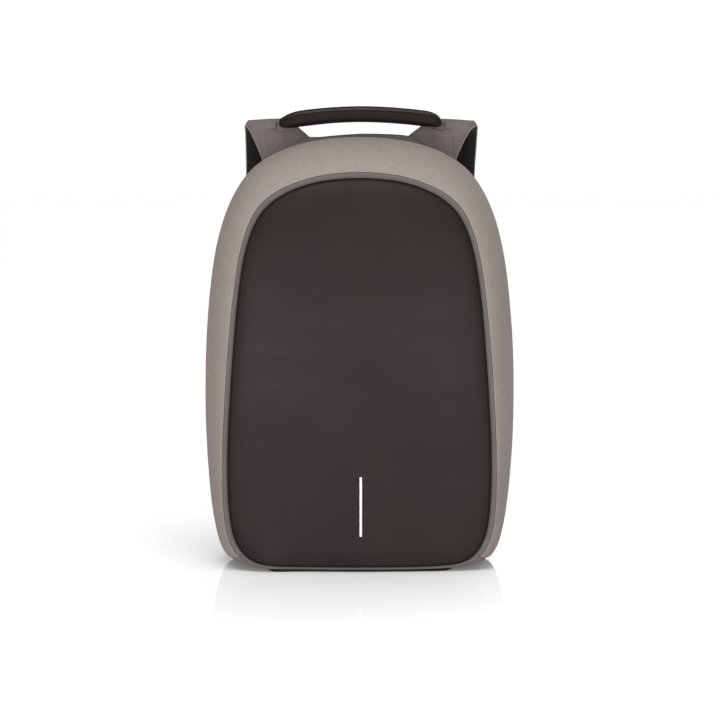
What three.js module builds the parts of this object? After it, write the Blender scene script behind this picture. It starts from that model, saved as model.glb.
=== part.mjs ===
// A closed commuter backpack that stands on its base: a moulded fabric shell that hides its zip at the back,
// a smooth dark front panel set into the shell's rim, a padded top handle and two padded shoulder straps.
// Millimetres, +Z up, front face towards -Y, +X to the right of a viewer who looks at the front.
// The bag itself is laid out with y = 0 at the back edge of its shell; the group is then moved along Y so that
// the origin is the bottom centre of everything.
import * as THREE from "three";

// ---------------------------------------------------------------- driving sizes (mm)
const CENTRE_SHIFT_Y = 42.26; // moves the bag so that its whole box is centred on y = 0
const WALL = 4.0; // foam-backed fabric wall of the shell
const WIDEST_Y = -50; // depth station of the shell's widest outline
const RIM_FLANGE = 6.5; // how far the shell's flange reaches in behind the front panel
const RIM_DEPTH = 9.5; // depth of the rim's inner bevel, from its crest to the groove
const FLANGE_Y = 11; // flange face behind the crest
const SEAM_STATION = 4; // outline station where the base panel is sewn to the shell
const SEAM_GAP = 0.03; // half gap at that seam, in stations
const CROWN_STATION = 12; // station where the shell's sides end and its crown starts
const SPLIT_GAP = 0.012; // half gap there, in stations
const RIM_POINT = 2; // point of the shoulder where the rim ends and the wall behind it starts
const RIM_SPLIT = 0.03; // gap there, as a share of the way to the next point
const PANEL_INSET = 1.4; // gap between the groove outline and the front panel's edge
const PANEL_THICK = 5;
const PANEL_EDGE_SET = 4.5; // the panel's edge lies this far behind the rim's crest
const PANEL_RISE = 6.5; // and rolls up by this much towards its middle
const PANEL_ROLL = 9; // over about this distance
const PANEL_BLEND = 25; // distance over which the panel leaves the rim's own line
const WELT_R = 1.1;
const WELT_INSET = 0.9; // the black piping lies in the groove, in front of the panel's edge
const WELT_DEPTH = 2.6;
const BASE_SHEET_T = 1.2;
const BAR = { x: 1.0, low: 34.5, high: 90, wide: 2.6, thick: 1.0 };
const BACK_WALL = { inset: 28.4, front: -4, back: -0.1 };
const PAD = { inset: 29.4, front: 0.3, back: 8.2, top: 343 };
const YOKE = { front: 0.9, back: 7.6, low: 344 };
const TAPE = { outer: 17, inner: 28, front: -3.6, back: -1.6 };
const COIL = { middle: 22, half: 2.6, high: 1.9 };
const HANDLE_SIDES = 12;
const STRAP = { thick: 11, step: 34 };
const WEB = { wide: 22, thick: 1.7 };
const BUCKLE = { wide: 32, high: 36, thick: 3.6, rail: 4, bar: 4, below: 25 };

// Depth of the bag along its middle line, from the back edge of the shell to the front face, by height.
const DEPTH = [
  { z: 0, depth: 136 }, { z: 50, depth: 141 }, { z: 120, depth: 145 }, { z: 190, depth: 145 },
  { z: 260, depth: 138 }, { z: 320, depth: 126 }, { z: 370, depth: 111 }, { z: 400, depth: 98 }, { z: 430, depth: 82 },
];
const FRONT_CROWN = 12; // the front face falls back this much at 130 mm from its middle

// Half outlines of the bag in front view, bottom centre to crown, one row for each station:
// the front panel's edge, the crest of the rim, and the widest section of the shell.
const OUTLINE = [
  { panel: [0, 3.8], rim: [0, 2.2], shell: [0, 1.5] },
  { panel: [48, 3.8], rim: [48, 2.2], shell: [54, 1.5] },
  { panel: [84, 4.2], rim: [86, 2.4], shell: [94, 1.5] },
  { panel: [101, 7.5], rim: [104.5, 4.2], shell: [114, 1.5] },
  { panel: [110.8, 14.9], rim: [115, 11.2], shell: [125.5, 3.2] },
  { panel: [116.3, 25.3], rim: [121.3, 22.2], shell: [133, 12] },
  { panel: [120.2, 38], rim: [125.8, 36.5], shell: [138.3, 28] },
  { panel: [123.6, 66], rim: [129.2, 65], shell: [143.8, 60] },
  { panel: [123.8, 116], rim: [129.2, 115], shell: [148, 112] },
  { panel: [121.3, 164], rim: [126.8, 163], shell: [149, 160] },
  { panel: [118, 210], rim: [123.7, 210], shell: [148.2, 208] },
  { panel: [114, 256], rim: [119.2, 257], shell: [144.8, 256] },
  { panel: [107.3, 301], rim: [112.5, 303], shell: [138.5, 302] },
  { panel: [95.3, 333], rim: [100, 337.5], shell: [126.5, 343] },
  { panel: [79, 349.5], rim: [82.5, 355], shell: [107.5, 374.5] },
  { panel: [61.5, 358.8], rim: [64, 364.5], shell: [84, 391.5] },
  { panel: [43, 365], rim: [44.5, 371], shell: [58.5, 401.5] },
  { panel: [22, 368.3], rim: [22.5, 374.8], shell: [30, 407] },
  { panel: [0, 369.3], rim: [0, 375.8], shell: [0, 408.5] },
];
const LAST = OUTLINE.length - 1;
const AROUND = 2 * LAST;
// Stations that the faceted outlines are cut at, on the right half.
const CUTS = [0, 1, 2, 2.5, 3, 3.5, 4, 4.5, 5, 5.5, 6, 7, 8, 9, 10, 11, 11.5, 12, 12.5, 13, 13.5, 14, 14.5, 15, 15.5, 16, 17, 18];
// The shell's shoulder turns from the crest of the rim to the widest section through these angles.
const SHOULDER_DEG = [14, 26, 40, 55, 70, 90];
// Behind the widest section the outline draws in and rounds over to the back edge.
const BACK_EDGE = [
  { y: -26, draw: 0.8 }, { y: -11, draw: 3.4 }, { y: -3.5, draw: 7.2 }, { y: 0, draw: 12 },
];

// Handle: half table from the middle to the tip.
const HANDLE = [
  { x: 0, top: 438.6, low: 422.8, front: -13.5, back: 12.5 },
  { x: 25, top: 437.5, low: 421.8, front: -13.5, back: 12.5 },
  { x: 48.5, top: 435.2, low: 419.6, front: -13.2, back: 12.5 },
  { x: 61, top: 432.4, low: 418.1, front: -12.2, back: 12.5 },
  { x: 69, top: 428.8, low: 417.6, front: -10.2, back: 12.5 },
  { x: 75, top: 425.0, low: 417.7, front: -7.0, back: 12.2 },
  { x: 78.6, top: 422.4, low: 418.3, front: -3.2, back: 11.2 },
  { x: 80, top: 421.0, low: 419.4, front: -0.5, back: 9.0 },
];

// Shoulder strap of the +X side, along its middle line from the sewn root to the lower end.
const STRAP_LINE = [
  { x: 65, y: 12.6, z: 352, wide: 50 },
  { x: 68, y: 13.9, z: 372, wide: 52 },
  { x: 72, y: 14.2, z: 392, wide: 51 },
  { x: 81.5, y: 15.4, z: 406, wide: 49 },
  { x: 87.8, y: 20.5, z: 416.6, wide: 50 },
  { x: 88.6, y: 31, z: 418.4, wide: 51 },
  { x: 88, y: 41.5, z: 410.5, wide: 53.5 },
  { x: 86.6, y: 47, z: 394, wide: 55.5 },
  { x: 84.5, y: 53, z: 365, wide: 57 },
  { x: 85, y: 57, z: 325, wide: 60 },
  { x: 88, y: 56, z: 285, wide: 60 },
  { x: 92, y: 51, z: 245, wide: 57 },
  { x: 96, y: 43.5, z: 210, wide: 50 },
  { x: 99, y: 37, z: 184, wide: 38 },
];
// The way down along the strap's lower end, where the buckle hangs on the +X side.
const END_WAY = { x: 0.111, y: -0.241, z: -0.964 };
// Lower webbing beside the buckle, as the height along the buckle and the distance out of its plane,
// from the bag's side of the middle bar, over that bar and down on the outer side.
const WEB_AT_BUCKLE = [
  { up: -16, out: -4.2 }, { up: 0.5, out: -3.7 }, { up: 5.2, out: -3.7 }, { up: 7.6, out: 0 },
  { up: 5.2, out: 3.7 }, { up: 0.5, out: 3.8 }, { up: -16, out: 4.2 }, { up: -34, out: 4.6 }, { up: -56, out: 5.6 },
];
// Its way from the sewn end on the anchor up to the buckle, on the +X side.
const WEB_BELOW = [{ x: 98, y: 13.2, z: 40 }, { x: 98.2, y: 13.6, z: 58 }, { x: 100.6, y: 17.6, z: 100 }];
const ANCHOR = { x: 98, z: 48, wide: 30, high: 34, back: 11.6, thick: 3 };

// ---------------------------------------------------------------- helpers
const lerp = (a, b, t) => a + (b - a) * t;
// Smooth reading of a table: a cubic between rows, with each row's slope taken from its neighbours.
function alongTable(rows, key, at, value) {
  const last = rows.length - 1;
  if (at <= rows[0][key]) return rows[0][value];
  if (at >= rows[last][key]) return rows[last][value];
  const slope = (i) => {
    const a = Math.max(0, i - 1), b = Math.min(last, i + 1);
    return (rows[b][value] - rows[a][value]) / (rows[b][key] - rows[a][key]);
  };
  let i = 1;
  while (at > rows[i][key]) i++;
  const h = rows[i][key] - rows[i - 1][key], t = (at - rows[i - 1][key]) / h;
  return (2 * t ** 3 - 3 * t ** 2 + 1) * rows[i - 1][value] + (t ** 3 - 2 * t ** 2 + t) * h * slope(i - 1)
    + (3 * t ** 2 - 2 * t ** 3) * rows[i][value] + (t ** 3 - t ** 2) * h * slope(i);
}
const frontY = (x, z) => -(alongTable(DEPTH, "z", z, "depth") - FRONT_CROWN * (x / 130) ** 2);

// A closed curve in the front view through the table's points and their mirror images.
function closedOutline(key) {
  const points = [];
  for (let i = 0; i <= LAST; i++) points.push(new THREE.Vector3(OUTLINE[i][key][0], 0, OUTLINE[i][key][1]));
  for (let i = LAST - 1; i >= 1; i--) points.push(new THREE.Vector3(-OUTLINE[i][key][0], 0, OUTLINE[i][key][1]));
  return new THREE.CatmullRomCurve3(points, true, "catmullrom", 0.5);
}
const CURVES = { panel: closedOutline("panel"), rim: closedOutline("rim"), shell: closedOutline("shell") };
function onOutline(key, station) {
  const s = ((station % AROUND) + AROUND) % AROUND;
  return CURVES[key].getPoint(s / AROUND);
}
// Outward normal of an outline in the front view.
function outward(key, station) {
  const a = onOutline(key, station - 0.02), b = onOutline(key, station + 0.02);
  return new THREE.Vector3(b.z - a.z, 0, -(b.x - a.x)).normalize();
}
const inset = (key, station, by) => onOutline(key, station).addScaledVector(outward(key, station), -by);
// The shell's outline drawn in by a distance at its sides, its crown and its base.
const MIDDLE = { z: 205, halfWide: 149, halfHigh: 203.5 };
function drawnIn(station, by) {
  const p = onOutline("shell", station);
  return p.set(p.x * (1 - by / MIDDLE.halfWide), 0, MIDDLE.z + (p.z - MIDDLE.z) * (1 - by / MIDDLE.halfHigh));
}
// Stations once round the outline, starting at the bottom centre and going up the right side.
const ROUND = [...CUTS, ...CUTS.slice(1, -1).reverse().map((s) => AROUND - s)];
const stationsFrom = (low, high) => [low, ...ROUND.filter((s) => s > low + 0.2 && s < high - 0.2), high];

// One closed body from rings of equal length: open ends are capped, or end in a point, or the rings close on themselves.
function skin(rings, { loop = false, first = null, last = null } = {}) {
  const n = rings[0].length, position = [], index = [];
  rings.forEach((ring) => ring.forEach((p) => position.push(p.x, p.y, p.z)));
  const id = (r, k) => (r % rings.length) * n + (((k % n) + n) % n);
  const bands = loop ? rings.length : rings.length - 1;
  for (let r = 0; r < bands; r++)
    for (let k = 0; k < n; k++) {
      const a = id(r, k), b = id(r, k + 1), c = id(r + 1, k + 1), d = id(r + 1, k);
      index.push(a, b, c, a, c, d);
    }
  const close = (r, point, flip) => {
    if (point) {
      const at = position.length / 3;
      position.push(point.x, point.y, point.z);
      for (let k = 0; k < n; k++)
        flip ? index.push(at, id(r, k + 1), id(r, k)) : index.push(at, id(r, k), id(r, k + 1));
      return;
    }
    const ring = rings[r], middle = ring.reduce((s, p) => s.add(p), new THREE.Vector3()).divideScalar(n);
    const normal = new THREE.Vector3();
    ring.forEach((p, k) => {
      const q = ring[(k + 1) % n];
      normal.add(p.clone().sub(middle).cross(q.clone().sub(middle)));
    });
    normal.normalize();
    const u = ring[0].clone().sub(middle).projectOnPlane(normal).normalize(), v = normal.clone().cross(u);
    const flat = ring.map((p) => new THREE.Vector2(p.clone().sub(middle).dot(u), p.clone().sub(middle).dot(v)));
    THREE.ShapeUtils.triangulateShape(flat, []).forEach(([a, b, c]) => {
      const turnsLeft = flat[b].clone().sub(flat[a]).cross(flat[c].clone().sub(flat[a])) > 0;
      turnsLeft === flip ? index.push(id(r, a), id(r, c), id(r, b)) : index.push(id(r, a), id(r, b), id(r, c));
    });
  };
  if (!loop) {
    close(0, first, true);
    close(rings.length - 1, last, false);
  }
  const geometry = new THREE.BufferGeometry();
  geometry.setAttribute("position", new THREE.Float32BufferAttribute(position, 3));
  // Faces are turned to point outwards.
  let volume = 0;
  const p = (i) => new THREE.Vector3(position[3 * i], position[3 * i + 1], position[3 * i + 2]);
  for (let i = 0; i < index.length; i += 3) volume += p(index[i]).dot(p(index[i + 1]).cross(p(index[i + 2])));
  if (volume < 0) for (let i = 0; i < index.length; i += 3) [index[i + 1], index[i + 2]] = [index[i + 2], index[i + 1]];
  geometry.setIndex(index);
  geometry.computeVertexNormals();
  return geometry;
}

const bag = new THREE.Group();
bag.position.y = CENTRE_SHIFT_Y;
const FINISH = {
  shell: { color: 0x9c918d, roughness: 0.85, metalness: 0 },
  panel: { color: 0x3b3736, roughness: 0.55, metalness: 0 },
  black: { color: 0x1f1d1c, roughness: 0.8, metalness: 0 },
  handle: { color: 0x2c2826, roughness: 0.6, metalness: 0 },
  mesh: { color: 0x242222, roughness: 0.95, metalness: 0 },
  bar: { color: 0xd8d8d8, roughness: 0.25, metalness: 0.9 },
};
function add(name, geometry, finish) {
  const mesh = new THREE.Mesh(geometry, new THREE.MeshStandardMaterial(FINISH[finish]));
  mesh.name = name;
  bag.add(mesh);
  return mesh;
}

// ---------------------------------------------------------------- shell, base panel
// The outside of the wall at a station: crest of the rim, shoulder, widest point, back edge.
function outerPath(station) {
  const crest = onOutline("rim", station), wide = onOutline("shell", station);
  const crestY = frontY(crest.x, crest.z);
  const rad = (d) => (d * Math.PI) / 180, a0 = rad(SHOULDER_DEG[0]);
  const points = SHOULDER_DEG.map((deg) => {
    const share = (Math.sin(rad(deg)) - Math.sin(a0)) / (1 - Math.sin(a0));
    return crest.clone().lerp(wide, share).setY(lerp(crestY, WIDEST_Y, (Math.cos(a0) - Math.cos(rad(deg))) / Math.cos(a0)));
  });
  BACK_EDGE.forEach(({ y, draw }) => points.push(drawnIn(station, draw).setY(y)));
  return points;
}
// The wall's closed sections at a station. whole: the outside, the same path one wall further in, and the
// rim's flange. rim: its front with the flange. wall: the rest, behind the rim.
function wallSections(station) {
  const outer = outerPath(station), before = outerPath(station - 0.05), after = outerPath(station + 0.05);
  const n = outer.length;
  const inner = outer.map((p, i) => {
    const along = outer[Math.min(i + 1, n - 1)].clone().sub(outer[Math.max(i - 1, 0)]);
    const normal = along.cross(after[i].clone().sub(before[i])).normalize();
    return p.clone().addScaledVector(normal, -WALL);
  });
  const crestY = outer[0].y, groove = onOutline("panel", station);
  const flangeIn = inset("panel", station, RIM_FLANGE);
  const flange = [
    flangeIn.clone().setY(crestY + FLANGE_Y + 3), flangeIn.clone().setY(crestY + FLANGE_Y),
    groove.clone().lerp(outer[0], 0.25).setY(crestY + RIM_DEPTH),
  ];
  const behind = (path) => [path[RIM_POINT].clone().lerp(path[RIM_POINT + 1], RIM_SPLIT), ...path.slice(RIM_POINT + 1)];
  return {
    whole: [...outer, ...inner.slice(RIM_POINT).reverse(), ...flange],
    rim: [...outer.slice(0, RIM_POINT + 1), inner[RIM_POINT], ...flange],
    wall: [...behind(outer), ...behind(inner).reverse()],
  };
}
// The shell's rim, and behind it the shell's sides and crown, divided where the sides start to curve over.
const TOP_STATION = AROUND / 2, LOW = SEAM_STATION + 2.2 * SEAM_GAP;
const SHELL_SPANS = [
  { name: "panel_rim", section: "rim", from: LOW, to: AROUND - LOW },
  { name: "body_shell_right", section: "wall", from: LOW, to: CROWN_STATION - SPLIT_GAP },
  { name: "body_crown_right", section: "wall", from: CROWN_STATION + SPLIT_GAP, to: TOP_STATION - SPLIT_GAP },
  { name: "body_crown_left", section: "wall", from: TOP_STATION + SPLIT_GAP, to: AROUND - CROWN_STATION - SPLIT_GAP },
  { name: "body_shell_left", section: "wall", from: AROUND - CROWN_STATION + SPLIT_GAP, to: AROUND - LOW },
];
SHELL_SPANS.forEach(({ name, section, from, to }) => {
  add(name, skin(stationsFrom(from, to).map((s) => wallSections(s)[section])), "shell");
});
const baseStations = [-SEAM_STATION + SEAM_GAP, -3.5, -3, -2.5, -2, -1, 0, 1, 2, 2.5, 3, 3.5, SEAM_STATION - SEAM_GAP];
add("base_panel", skin(baseStations.map((s) => wallSections(s).whole)), "shell");

// Hard-wearing sheet under the base, which is what the bag stands on.
{
  const halfWide = 98, back = -12, front = -132.5, round = 14;
  const outline = new THREE.Shape();
  outline.moveTo(-halfWide + 8, back);
  outline.lineTo(halfWide - 8, back);
  outline.quadraticCurveTo(halfWide, back, halfWide, back - 8);
  outline.lineTo(halfWide - 2, front + round + 12);
  outline.quadraticCurveTo(halfWide - 6, front + 4, halfWide - 6 - round - 4, front + 1.5);
  outline.lineTo(0, front - 2.0);
  outline.lineTo(-(halfWide - 6 - round - 4), front + 1.5);
  outline.quadraticCurveTo(-halfWide + 6, front + 4, -halfWide + 2, front + round + 12);
  outline.lineTo(-halfWide, back - 8);
  outline.quadraticCurveTo(-halfWide, back, -halfWide + 8, back);
  add("base_sheet", new THREE.ExtrudeGeometry(outline, { depth: BASE_SHEET_T, bevelEnabled: false, curveSegments: 5 }), "black");
}

// ---------------------------------------------------------------- front panel, its welt and its metal strip
const PANEL_MIDDLE = new THREE.Vector3(0, 0, 185);
const rollUp = (d) => PANEL_EDGE_SET - PANEL_RISE * (1 - Math.exp(-Math.max(0, d) / PANEL_ROLL));
{
  const ring = (share, lift) => ROUND.map((s) => {
    const edge = inset("panel", s, PANEL_INSET);
    const p = PANEL_MIDDLE.clone().lerp(edge, share);
    const fromEdge = edge.distanceTo(p);
    const crest = onOutline("rim", s);
    const behindCrest = (frontY(crest.x, crest.z) - frontY(edge.x, edge.z)) * Math.exp(-fromEdge / PANEL_BLEND);
    return p.setY(frontY(p.x, p.z) + rollUp(fromEdge) + behindCrest + lift);
  });
  const faceShares = [0.28, 0.55, 0.78, 0.9, 0.96, 0.988, 1], backShares = [1, 0.97, 0.85, 0.5];
  const rings = [...faceShares.map((share) => ring(share, 0)), ...backShares.map((share) => ring(share, PANEL_THICK))];
  const middleY = frontY(0, PANEL_MIDDLE.z) + rollUp(100);
  add("front_panel", skin(rings, {
    first: PANEL_MIDDLE.clone().setY(middleY), last: PANEL_MIDDLE.clone().setY(middleY + PANEL_THICK),
  }), "panel");

  const welt = ROUND.map((s) => {
    const middle = onOutline("panel", s), away = outward("panel", s), crest = onOutline("rim", s);
    const y = frontY(crest.x, crest.z) + WELT_DEPTH;
    return [0, 1, 2, 3, 4, 5].map((k) => {
      const a = (k * Math.PI) / 3;
      return middle.clone().addScaledVector(away, WELT_R * Math.cos(a) - WELT_INSET).setY(y + WELT_R * Math.sin(a));
    });
  });
  add("panel_welt", skin(welt, { loop: true }), "black");

  const barRings = [0, 0.2, 0.4, 0.6, 0.8, 1].map((t) => {
    const z = lerp(BAR.low, BAR.high, t), y = frontY(BAR.x, z) + rollUp(60) - 0.5;
    return [[-1, 0], [1, 0], [1, -1], [-1, -1]].map(([w, h]) =>
      new THREE.Vector3(BAR.x + (w * BAR.wide) / 2, y + h * BAR.thick, z));
  });
  add("metal_strip", skin(barRings), "bar");
}

// ---------------------------------------------------------------- back: zip tape, coil, board, pad, yoke
{
  const flatRing = (by, y, top = 1e9) => ROUND.map((s) => {
    const p = drawnIn(s, by);
    return p.setY(y).setZ(Math.min(p.z, top));
  });
  const band = (inner, outer, front, back) => ROUND.map((s) => [
    drawnIn(s, outer).setY(front), drawnIn(s, outer).setY(back), drawnIn(s, inner).setY(back), drawnIn(s, inner).setY(front),
  ]);
  add("zip_tape", skin(band(TAPE.inner, TAPE.outer, TAPE.front, TAPE.back), { loop: true }), "black");
  // The closed coil runs up one side, over the top and down the other.
  const low = 5.6;
  const coil = stationsFrom(low, AROUND - low).map((s) => {
    const y = TAPE.back + 0.3;
    return [
      drawnIn(s, COIL.middle - COIL.half).setY(y), drawnIn(s, COIL.middle - COIL.half * 0.6).setY(y + COIL.high * 0.9),
      drawnIn(s, COIL.middle + COIL.half * 0.6).setY(y + COIL.high * 0.9), drawnIn(s, COIL.middle + COIL.half).setY(y),
    ];
  });
  add("zip_coil", skin(coil), "black");
  add("back_wall", skin([flatRing(BACK_WALL.inset, BACK_WALL.back), flatRing(BACK_WALL.inset, BACK_WALL.front)]), "black");
  add("back_pad", skin([
    flatRing(PAD.inset, PAD.front, PAD.top), flatRing(PAD.inset, PAD.back - 4, PAD.top),
    flatRing(PAD.inset + 2, PAD.back - 1.2, PAD.top - 2), flatRing(PAD.inset + 6, PAD.back, PAD.top - 6),
  ]), "mesh");

  const yoke = new THREE.Shape();
  const edge = [[0, 411], [38, 410.4], [49, 407.6], [70, 397], [90, 383], [104, 366], [110, YOKE.low + 4], [106, YOKE.low]];
  yoke.moveTo(-106, YOKE.low);
  yoke.lineTo(106, YOKE.low);
  edge.slice(0, -1).reverse().forEach(([x, z]) => yoke.lineTo(x, z));
  edge.slice(1, -1).forEach(([x, z]) => yoke.lineTo(-x, z));
  const yokeGeometry = new THREE.ExtrudeGeometry(yoke, { depth: YOKE.back - YOKE.front, bevelEnabled: false });
  yokeGeometry.rotateX(Math.PI / 2).translate(0, YOKE.back, 0);
  add("yoke", yokeGeometry, "shell");
}

// ---------------------------------------------------------------- zip sliders with their short pulls, on the right side
[[9.0, -1, "lower"], [9.42, 1, "upper"]].forEach(([station, way, name]) => {
  const at = drawnIn(station, COIL.middle), away = outward("shell", station);
  const turn = Math.atan2(away.z, away.x);
  const outline = new THREE.Shape();
  const points = [[-4.2, -4], [-3, -5.4], [3, -5.4], [4.2, -4], [3.4, 5], [1.7, 5.6], [1.7, 27], [-1.7, 27], [-1.7, 5.6], [-3.4, 5]];
  points.forEach(([x, y], i) => (i ? outline.lineTo(x, y * way) : outline.moveTo(x, y * way)));
  const slider = new THREE.ExtrudeGeometry(outline, { depth: 2.6, bevelEnabled: false });
  slider.rotateX(Math.PI / 2).translate(0, 2.6, 0);
  const mesh = add("zip_slider_" + name, slider, "black");
  mesh.rotation.y = -turn;
  mesh.position.set(at.x, TAPE.back + 0.3 + COIL.high * 0.9 + 0.3, at.z);
});

// ---------------------------------------------------------------- top handle
{
  const rows = [...HANDLE.slice(1).reverse().map((r) => ({ ...r, x: -r.x })), ...HANDLE];
  const rings = rows.map(({ x, top, low, front, back }) => {
    const ring = [];
    for (let k = 0; k < HANDLE_SIDES; k++) {
      const a = ((k + 0.5) * 2 * Math.PI) / HANDLE_SIDES, c = Math.cos(a), s = Math.sin(a);
      const soft = (v) => Math.sign(v) * Math.abs(v) ** 0.72;
      ring.push(new THREE.Vector3(x, (front + back) / 2 + (soft(c) * (back - front)) / 2, (top + low) / 2 + (soft(s) * (top - low)) / 2));
    }
    return ring;
  });
  add("top_handle", skin(rings), "handle");
}

// ---------------------------------------------------------------- shoulder straps, webbing, buckles, anchors
function curveOf(rows, side) {
  return new THREE.CatmullRomCurve3(rows.map((r) => new THREE.Vector3(side * r.x, r.y, r.z)), false, "centripetal");
}
// Rings of a flat band along a curve: section lists [across, through], along X and through the band's thickness.
function bandRings(curve, steps, section) {
  const rings = [];
  for (let i = 0; i <= steps; i++) {
    const u = i / steps, p = curve.getPoint(u), t = curve.getTangent(u);
    const across = new THREE.Vector3(1, 0, 0), through = t.setX(0).normalize().cross(across);
    rings.push(section(u).map(([w, h]) => p.clone().addScaledVector(across, w).addScaledVector(through, h)));
  }
  return rings;
}
const widthAt = (u) => {
  const f = u * (STRAP_LINE.length - 1), i = Math.min(Math.floor(f), STRAP_LINE.length - 2);
  return lerp(STRAP_LINE[i].wide, STRAP_LINE[i + 1].wide, f - i);
};
// The band thins towards both of its sewn ends.
const fullness = (u) => Math.min(1, 0.45 + u * 6, 0.5 + (1 - u) * 8);
[["right", 1], ["left", -1]].forEach(([name, side]) => {
  const curve = curveOf(STRAP_LINE, side), half = STRAP.thick / 2;
  add("strap_shell_" + name, skin(bandRings(curve, STRAP.step, (u) => {
    const w = widthAt(u) / 2, h = half * fullness(u);
    return [[-w, -0.2], [-w, -h * 0.45], [-w + 2.5, -h * 0.86], [-w * 0.4, -h], [w * 0.4, -h], [w - 2.5, -h * 0.86], [w, -h * 0.45], [w, -0.2]];
  })), "shell");
  add("strap_lining_" + name, skin(bandRings(curve, STRAP.step, (u) => {
    const w = widthAt(u) / 2 - 1, h = half * fullness(u);
    return [[-w, 0.2], [w, 0.2], [w, h * 0.45], [w - 2.5, h * 0.86], [w * 0.4, h], [-w * 0.4, h], [-w + 2.5, h * 0.86], [-w, h * 0.45]];
  })), "mesh");

  // The buckle hangs below the strap's lower end, in line with it.
  const end = STRAP_LINE[STRAP_LINE.length - 1];
  const down = new THREE.Vector3(side * END_WAY.x, END_WAY.y, END_WAY.z).normalize();
  const hang = new THREE.Vector3(side * end.x, end.y, end.z).addScaledVector(down, BUCKLE.below);
  const up = down.clone().negate(), across = new THREE.Vector3(1, 0, 0).addScaledVector(up, -up.x).normalize();
  const out = up.clone().cross(across);
  const turn = new THREE.Quaternion().setFromRotationMatrix(new THREE.Matrix4().makeBasis(across, out, up));

  const webPoints = [
    ...WEB_BELOW.map((p) => new THREE.Vector3(side * p.x, p.y, p.z)),
    ...WEB_AT_BUCKLE.map((p) => hang.clone().addScaledVector(up, p.up).addScaledVector(out, p.out)),
  ];
  const web = new THREE.CatmullRomCurve3(webPoints, false, "centripetal");
  add("webbing_" + name, skin(bandRings(web, 44, () => {
    const w = WEB.wide / 2, h = WEB.thick / 2;
    return [[-w, -h], [w, -h], [w, h], [-w, h]];
  })), "black");

  // Ladder buckle: a frame with two openings.
  const frame = new THREE.Shape(), hw = BUCKLE.wide / 2, hh = BUCKLE.high / 2;
  frame.moveTo(-hw + 3, -hh).lineTo(hw - 3, -hh).lineTo(hw, -hh + 3).lineTo(hw, hh - 3).lineTo(hw - 3, hh).lineTo(-hw + 3, hh).lineTo(-hw, hh - 3).lineTo(-hw, -hh + 3);
  const hole = (z0, z1) => new THREE.Path([[-hw + BUCKLE.rail, z0], [-hw + BUCKLE.rail, z1], [hw - BUCKLE.rail, z1], [hw - BUCKLE.rail, z0]].map(([a, b]) => new THREE.Vector2(a, b)));
  frame.holes.push(hole(4.5, hh - BUCKLE.bar), hole(-hh + 3.5, 0.3));
  const buckle = new THREE.ExtrudeGeometry(frame, { depth: BUCKLE.thick, bevelEnabled: false });
  buckle.rotateX(Math.PI / 2).translate(0, BUCKLE.thick / 2, 0);
  const buckleMesh = add("buckle_" + name, buckle, "black");
  buckleMesh.position.copy(hang);
  buckleMesh.quaternion.copy(turn);

  // Folded loop that joins the strap's lower end to the buckle's upper bar.
  const loopLine = [[-2.6, 23.8], [-3.2, 18], [-2.9, 14.2], [0, 12.3], [2.9, 14.2], [3.2, 18], [2.6, 23.8]];
  const path = new THREE.CatmullRomCurve3(loopLine.map(([a, b]) => new THREE.Vector3(0, a, b)), false, "centripetal");
  const loop = skin(bandRings(path, 18, () => [[-10.5, -0.65], [10.5, -0.65], [10.5, 0.65], [-10.5, 0.65]]));
  const loopMesh = add("buckle_loop_" + name, loop, "black");
  loopMesh.position.copy(hang);
  loopMesh.quaternion.copy(turn);

  // Sewn triangular anchor at the lower corner of the back.
  const tri = new THREE.Shape([[-ANCHOR.wide / 2, -ANCHOR.high / 2], [ANCHOR.wide / 2, -ANCHOR.high / 2], [ANCHOR.wide / 2 - 1, 2], [11.5, ANCHOR.high / 2], [-11.5, ANCHOR.high / 2], [-ANCHOR.wide / 2 + 1, 2]].map(([a, b]) => new THREE.Vector2(a, b)));
  const anchor = new THREE.ExtrudeGeometry(tri, { depth: ANCHOR.thick, bevelEnabled: false });
  anchor.rotateX(Math.PI / 2).translate(0, ANCHOR.back, 0);
  const anchorMesh = add("strap_anchor_" + name, anchor, "black");
  anchorMesh.position.set(side * ANCHOR.x, 0, ANCHOR.z);
});

export default bag;
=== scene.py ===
import math

import bmesh
import bpy
import numpy as np
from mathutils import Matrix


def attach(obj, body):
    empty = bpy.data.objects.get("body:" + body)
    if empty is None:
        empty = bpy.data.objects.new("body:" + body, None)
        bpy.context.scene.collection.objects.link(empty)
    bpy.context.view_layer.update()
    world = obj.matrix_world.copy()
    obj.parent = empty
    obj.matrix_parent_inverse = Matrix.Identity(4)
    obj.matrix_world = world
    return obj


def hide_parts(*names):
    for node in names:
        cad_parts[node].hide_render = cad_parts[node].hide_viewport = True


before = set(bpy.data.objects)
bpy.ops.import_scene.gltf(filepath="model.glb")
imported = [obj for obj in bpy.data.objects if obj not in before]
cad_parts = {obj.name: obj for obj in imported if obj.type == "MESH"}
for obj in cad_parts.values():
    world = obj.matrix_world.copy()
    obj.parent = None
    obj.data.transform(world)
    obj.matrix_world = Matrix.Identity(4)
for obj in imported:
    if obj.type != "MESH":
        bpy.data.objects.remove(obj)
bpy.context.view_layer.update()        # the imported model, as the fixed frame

# ------------------------------------------------------------------ sizes (mm), in the bag's own layout
# x to the viewer's right, z up, y = 0 at the back edge of the shell and the front face towards -y.
SHIFT_Y = 42.26
WIDEST_Y = -50.0
FRONT_CROWN = 12.0
PER = 16  # samples between two stations of the outlines

DEPTH_Z = [0, 50, 120, 190, 260, 320, 370, 400, 430]
DEPTH_Y = [136, 141, 145, 145, 138, 126, 111, 98, 82]
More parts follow.
